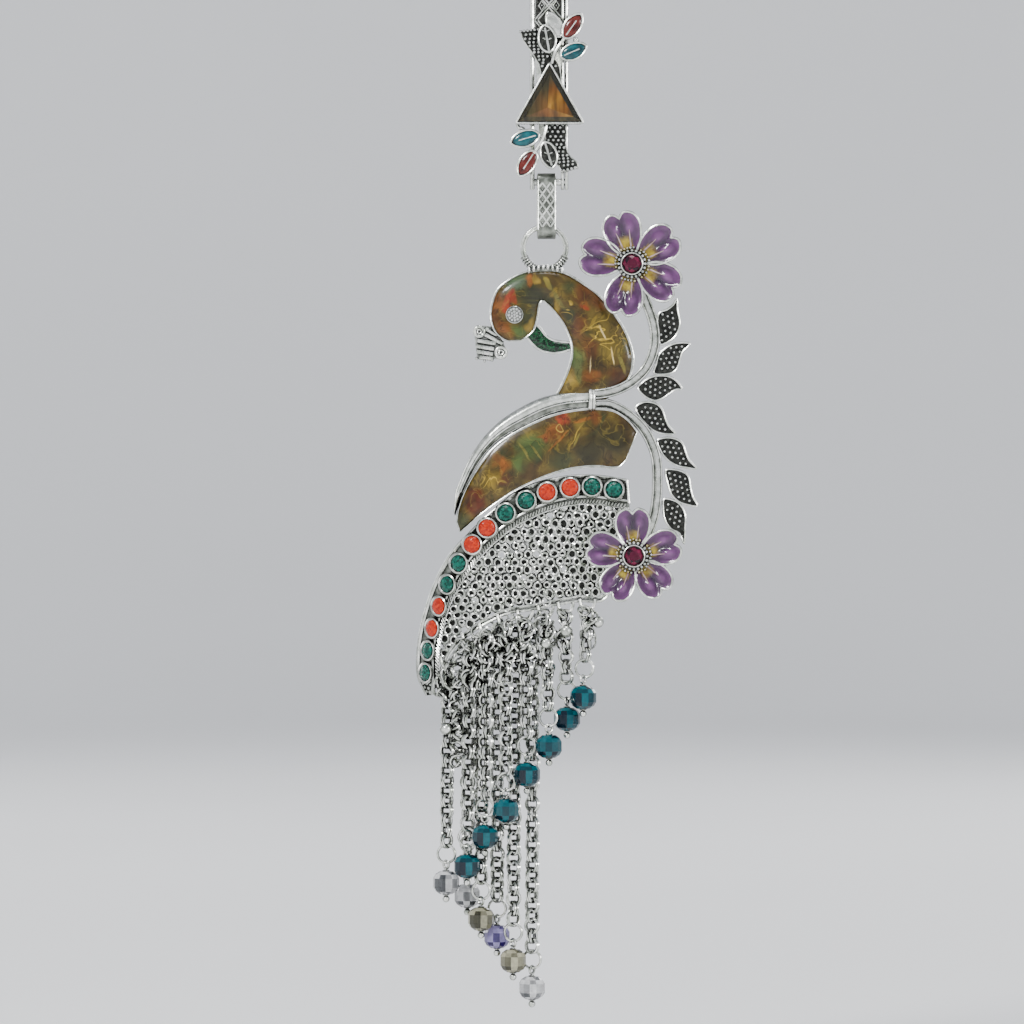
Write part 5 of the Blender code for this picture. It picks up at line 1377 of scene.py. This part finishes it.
def filigree():
    """A pierced net of doubled rings and hooks, most of its holes closed by a black disc as painted
    shade, and the hanging loops.
    """
    shape = Shape()
    net = [tuple(row[2:]) for row in BAND_ROWS[:-1]] + list(TAIL_LOWER[::-1])
    pitch, row_step, jitter, margin = 1.78, 0.866, 0.24, 1.0
    open_share, granule_share, hook_share = 0.05, 0.5, 0.7
    ring_y, outer_y, hook_y = -2.85, -2.55, -2.9
    for row in range(34):
        for column in range(32):
            x = -30.0 + (column + 0.5 * (row % 2)) * pitch + random.uniform(-jitter, jitter)
            z = -106.0 - row * pitch * row_step + random.uniform(-jitter, jitter)
            depth = inside_by((x, z), net)
            if depth < margin:
                continue
            radius, tall = random.uniform(0.5, 0.82), random.uniform(0.8, 1.3)
            lean = (random.uniform(-0.2, 0.2), 1, random.uniform(-0.2, 0.2))
            shape.hoop((x, ring_y, z), radius, 0.2, lean, 12, 6, stretch=tall)
            shape.hoop((x, outer_y, z), radius + 0.3, 0.17, lean, 14, 5, stretch=tall)
            hole = radius - 0.06
            shape.lathe((x, 0, z), ((hole, -2.15), (1.15, -2.15), (1.15, -2.42), (hole, -2.42),
                                    (hole, -2.15)), 12, look=2)
            # Most holes are closed: a black disc stands in for the shade seen through the hole,
            # with a silver disc behind
            if random.random() > open_share:
                for outer, near, far, sides, ground in ((hole, -2.1, -2.2, 10, 1),
                                                        (1.0, -1.95, -2.12, 8, 0)):
                    shape.lathe((x, 0, z), ((0.06, near), (outer, near), (outer, far), (0.06, far)),
                                sides, look=ground)
            if random.random() < granule_share:
                shape.ball((x + pitch / 2, -2.72, z - pitch * 0.29), random.uniform(0.22, 0.3),
                           sides=6, rows=4)
            if random.random() < hook_share:
                turn = random.uniform(0, TAU)
                hook = [round_at(x, hook_y, z, radius + 0.12, turn + k * 0.6) for k in range(6)]
                shape.tube(hook, 0.15, 5)
    edge = smooth(TAIL_LOWER, 5)
    hem, height = edge[10:], 0.85
    shape.tube(flat(edge, -2.75), 0.3, 8)
    shape.tube([(x, -2.85, z + height) for x, z in hem], 0.24, 6)
    shape.slab([(x, z, x, z + height) for x, z in hem], -2.2, level(-2.6), 2)
    shape.tube(flat([BAND_ROWS[0][2:], TAIL_LOWER[0]], -2.6), 0.36, 8)
    shape.swept()
    for x, z, *_ in FRONT_STRANDS:
        y = FRONT_TOP_Y + sweep_back(x)
        shape.tube(smooth([(x + dx, y, z + dz) for dx, dz in HANGING_LOOP], 4), 0.34, 8)
    shape.made("tail_filigree", [LACE, BLACK, SILVER], ("tail_frame",))


# Chains and beads

def hang_line(strand, top_y):
    """Where a strand starts, and its bead's centre."""
    tx, tz, bx, by, bz, _ = strand
    lean = sweep_back(tx)
    return Vector((tx, top_y + lean, tz)), Vector((bx, by + lean, bz))


def strand_chain(strand, top_y, loop):
    """Doubled round links from the loop to the bead's headpin."""
    shape = Shape()
    top, bead = hang_line(strand, top_y)
    eye_radius, pin, overlap = 0.75, 0.3, 1.6 * LINK_WIRE
    eye_z = bead.z + BEAD_HALF_HEIGHT + 0.25 + eye_radius + pin
    jump_z = eye_z + eye_radius + JUMP_RADIUS - overlap
    first_z = top.z - (LOOP_RADIUS if loop else 0) - LINK_RADIUS + 0.6
    last_z = jump_z + JUMP_RADIUS + LINK_RADIUS - overlap
    count = max(1, round((first_z - last_z) / LINK_PITCH))

    def at(z):
        share = (top.z - z) / (top.z - bead.z)
        return top.lerp(bead, share).xy.to_3d() + Vector((0, 0, z))

    def facing(turn):
        return Vector((math.sin(turn), math.cos(turn), 0))

    base = random.uniform(0.3, 1.1)
    for index in range(count + 1):
        normal = facing(base + (math.pi / 2) * (index % 2) + random.uniform(-0.3, 0.3))
        place = at(first_z + (last_z - first_z) * index / count)
        for side in (-DOUBLE_LINK, DOUBLE_LINK):
            shape.hoop(place + normal * side, LINK_RADIUS, LINK_WIRE, normal, 16, 6, stretch=1.06)
    normal = facing(base + (math.pi / 2) * ((count + 1) % 2))
    shape.hoop(at(jump_z), JUMP_RADIUS, LINK_WIRE, (0.25, 1, 0), 22, 8)
    shape.hoop((bead.x, bead.y, eye_z), eye_radius, LINK_WIRE, normal, 14, 7)
    if loop:
        for k in range(5):  # the bunched rings where a strand leaves its loop
            shift = (random.uniform(-1, 1), random.uniform(-1.2, -0.4), -1.2 - 1.5 * k)
            loose_ring(shape, top + Vector(shift), 0.3, (1.15, 1.6), 0.24, 18)
    ball_z, ball_radius = bead.z - BEAD_HALF_HEIGHT - 0.7, 0.72
    shape.tube([(bead.x, bead.y, z) for z in (eye_z - eye_radius, ball_z)], pin, 8)
    for cap in (1, -1):
        shape.lathe((bead.x, bead.y, bead.z + cap * (BEAD_HALF_HEIGHT + 0.1)),
                    ((0.1, 0.14), (0.6, 0.14), (0.75, 0.0), (0.6, -0.14), (0.1, -0.14)), 12, "z")
    shape.ball((bead.x, bead.y, ball_z - 0.25), ball_radius, sides=12, rows=8)
    return shape


def loose_ring(shape, place, least_turn, radii, wire, sides):
    """A ring that faces anyhow, but never quite sideways."""
    normal = (random.uniform(-1, 1), random.uniform(least_turn, 1), random.uniform(-0.7, 0.7))
    shape.hoop(place, random.uniform(*radii), wire, normal, sides, 6)


def bunch():
    """Loose rings bunched between the strands under the tail's left edge."""
    shape = Shape()
    line = smooth(TAIL_LOWER[4:], 6)
    gap = -18.3  # x of the rings that fill the room beside the leftmost strand
    under_edge, in_gap = 110, 34
    tops = [random.choice(line) for _ in range(under_edge)] + [(gap, line[-1][1])] * in_gap
    for x, z in tops:
        span = (3.0, 17.0) if x == gap else (0.6, min(13.0, 4.0 + 1.4 * (x + 22)))
        z -= random.uniform(*span)
        place = (x + random.uniform(-0.8, 0.8), random.uniform(-4.2, -0.8) + sweep_back(x), z)
        loose_ring(shape, place, 0.2, (1.0, 1.5), 0.25, 16)
    shape.made("bunched_rings", [LACE])


BEAD_LEVELS = (  # shares of the radius and of the half height, twist in sides
    (0.17, 1.0, 0), (0.5, 0.98, 0), (0.8, 0.74, 0.5), (0.97, 0.4, 0.5), (0.97, -0.4, 0.5),
    (0.8, -0.74, 0.5), (0.5, -0.98, 0), (0.17, -1.0, 0),
)


def facet_bead(centre, radius, half):
    """A drilled bead with tall facets round its middle."""
    cx, cy, cz = centre
    sides, start = 12, random.uniform(0, TAU)
    rings = []
    for share, height, twist in BEAD_LEVELS:
        rings.append([(cx + radius * share * math.cos(start + a),
                       cy + radius * share * math.sin(start + a), cz + half * height)
                      for a in angles(sides, twist)])
    shape = Shape()
    shape.add(sum(rings, []), facets(sides, [twist for *_, twist in BEAD_LEVELS], closed=True))
    return shape


def fringe():
    """Every strand: its chain, its crystal, and the silver balls hung among the links."""
    for side, strands, top_y in (("front", FRONT_STRANDS, FRONT_TOP_Y),
                                 ("back", BACK_STRANDS, BACK_TOP_Y)):
        for number, strand in enumerate(strands, 1):
            chain = strand_chain(strand, top_y, side == "front")
            for *place, radius in SILVER_BALLS.get((side, number), ()):
                chain.ball(place, radius, sides=14, rows=9)
            chain.made(f"{side}_chain_{number}", [CHAIN], (f"{side}_strand_{number}",))
            colour, (_, place) = strand[-1], hang_line(strand, top_y)
            bead = facet_bead(place, BEAD_RADIUS, BEAD_HALF_HEIGHT)
            bead.made(f"{side}_crystal_{number}", [BEADS[colour]], (f"{side}_bead_{number}",),
                      slot=f"{colour}_glass", smooth_angle=0)


# The stage

def studio_bowl():
    """A pale floor that curves up into a round wall."""
    floor_z, flat_radius, bend, height = -0.232, 1.7, 0.5, 2.6
    bend_steps, sides = 8, 64
    profile = [(0.02, 0.0), (flat_radius, 0.0)]
    for k in range(1, bend_steps + 1):
        angle = math.pi / 2 * k / bend_steps
        profile.append((flat_radius + bend * math.sin(angle), bend * (1 - math.cos(angle))))
    profile.append((flat_radius + bend, height))
    rings = [[(radius * math.cos(a), radius * math.sin(a), floor_z + rise) for a in angles(sides)]
             for radius, rise in profile]
    faces = facets(sides, [0] * len(rings)) + [tuple(range(sides))[::-1]]
    mesh = bpy.data.meshes.new("studio_bowl")
    mesh.from_pydata(sum(rings, []), [], faces)
    mesh.materials.append(stage_look())
    mesh.shade_smooth()
    placed("studio_bowl", mesh)


def stage():
    """The bowl, soft lamps, a soft sky and the camera, where the photo's stood."""
    studio_bowl()
    aim = Vector((0.0, 0.0, -0.11))
    for name, place, size, power in (  # in metres and watts
        ("key", (-0.7, -1.1, 0.7), 0.24, 13.0), ("fill", (1.1, -1.0, 0.15), 0.24, 5.0),
        ("top", (0.1, -0.35, 1.1), 0.4, 6.0), ("rim", (0.6, 1.0, 0.4), 0.4, 5.0),
        ("back", (-0.8, 0.9, 0.1), 0.4, 3.0),
    ):
        lamp = bpy.data.lights.new(name, "AREA")
        lamp.size, lamp.energy = size, power
        lamp_object = placed(name, lamp)
        lamp_object.location = place
        lamp_object.rotation_euler = (aim - Vector(place)).to_track_quat("-Z", "Y").to_euler()
    world = bpy.data.worlds.new("soft_sky")
    world.use_nodes = True
    background = world.node_tree.nodes["Background"]
    background.inputs["Color"].default_value = (0.85, 0.9, 1.0, 1)
    background.inputs["Strength"].default_value = 0.65
    bpy.context.scene.world = world
    frame_width, distance, sensor = 0.2048, 0.9, 36.0  # metres, metres, millimetres
    camera = bpy.data.cameras.new("camera")
    camera.sensor_width, camera.clip_end = sensor, 20
    camera.lens = sensor * distance / frame_width
    camera_object = placed("camera", camera)
    camera_object.location = (-0.0074, -0.0035 - distance, -0.1114)
    camera_object.rotation_euler = (math.pi / 2, 0, 0)
    bpy.context.scene.camera = camera_object


stage()
hook_bar()
trunk()
motif_leaves()
motif_enamels()
triangle()
bail()
ring()
bird_trays()
resin("neck_resin", NECK_ROWS, NECK, -3.35, -4.0, -5.15, "marbled_enamel", "neck_enamel")
resin("wing_resin", WING_ROWS, WING, -3.1, -4.0, -4.7, "marbled_enamel", "wing_enamel")
resin("beak_resin", BEAK_ROWS, GREEN_ENAMEL, -3.3, -3.9, -4.3, "green_enamel", "beak_enamel")
eye()
crest()
branch()
spray_leaves()
for flower_row in FLOWERS:
    flower(*flower_row)
tail_band()
band_stones()
filigree()
fringe()
bunch()
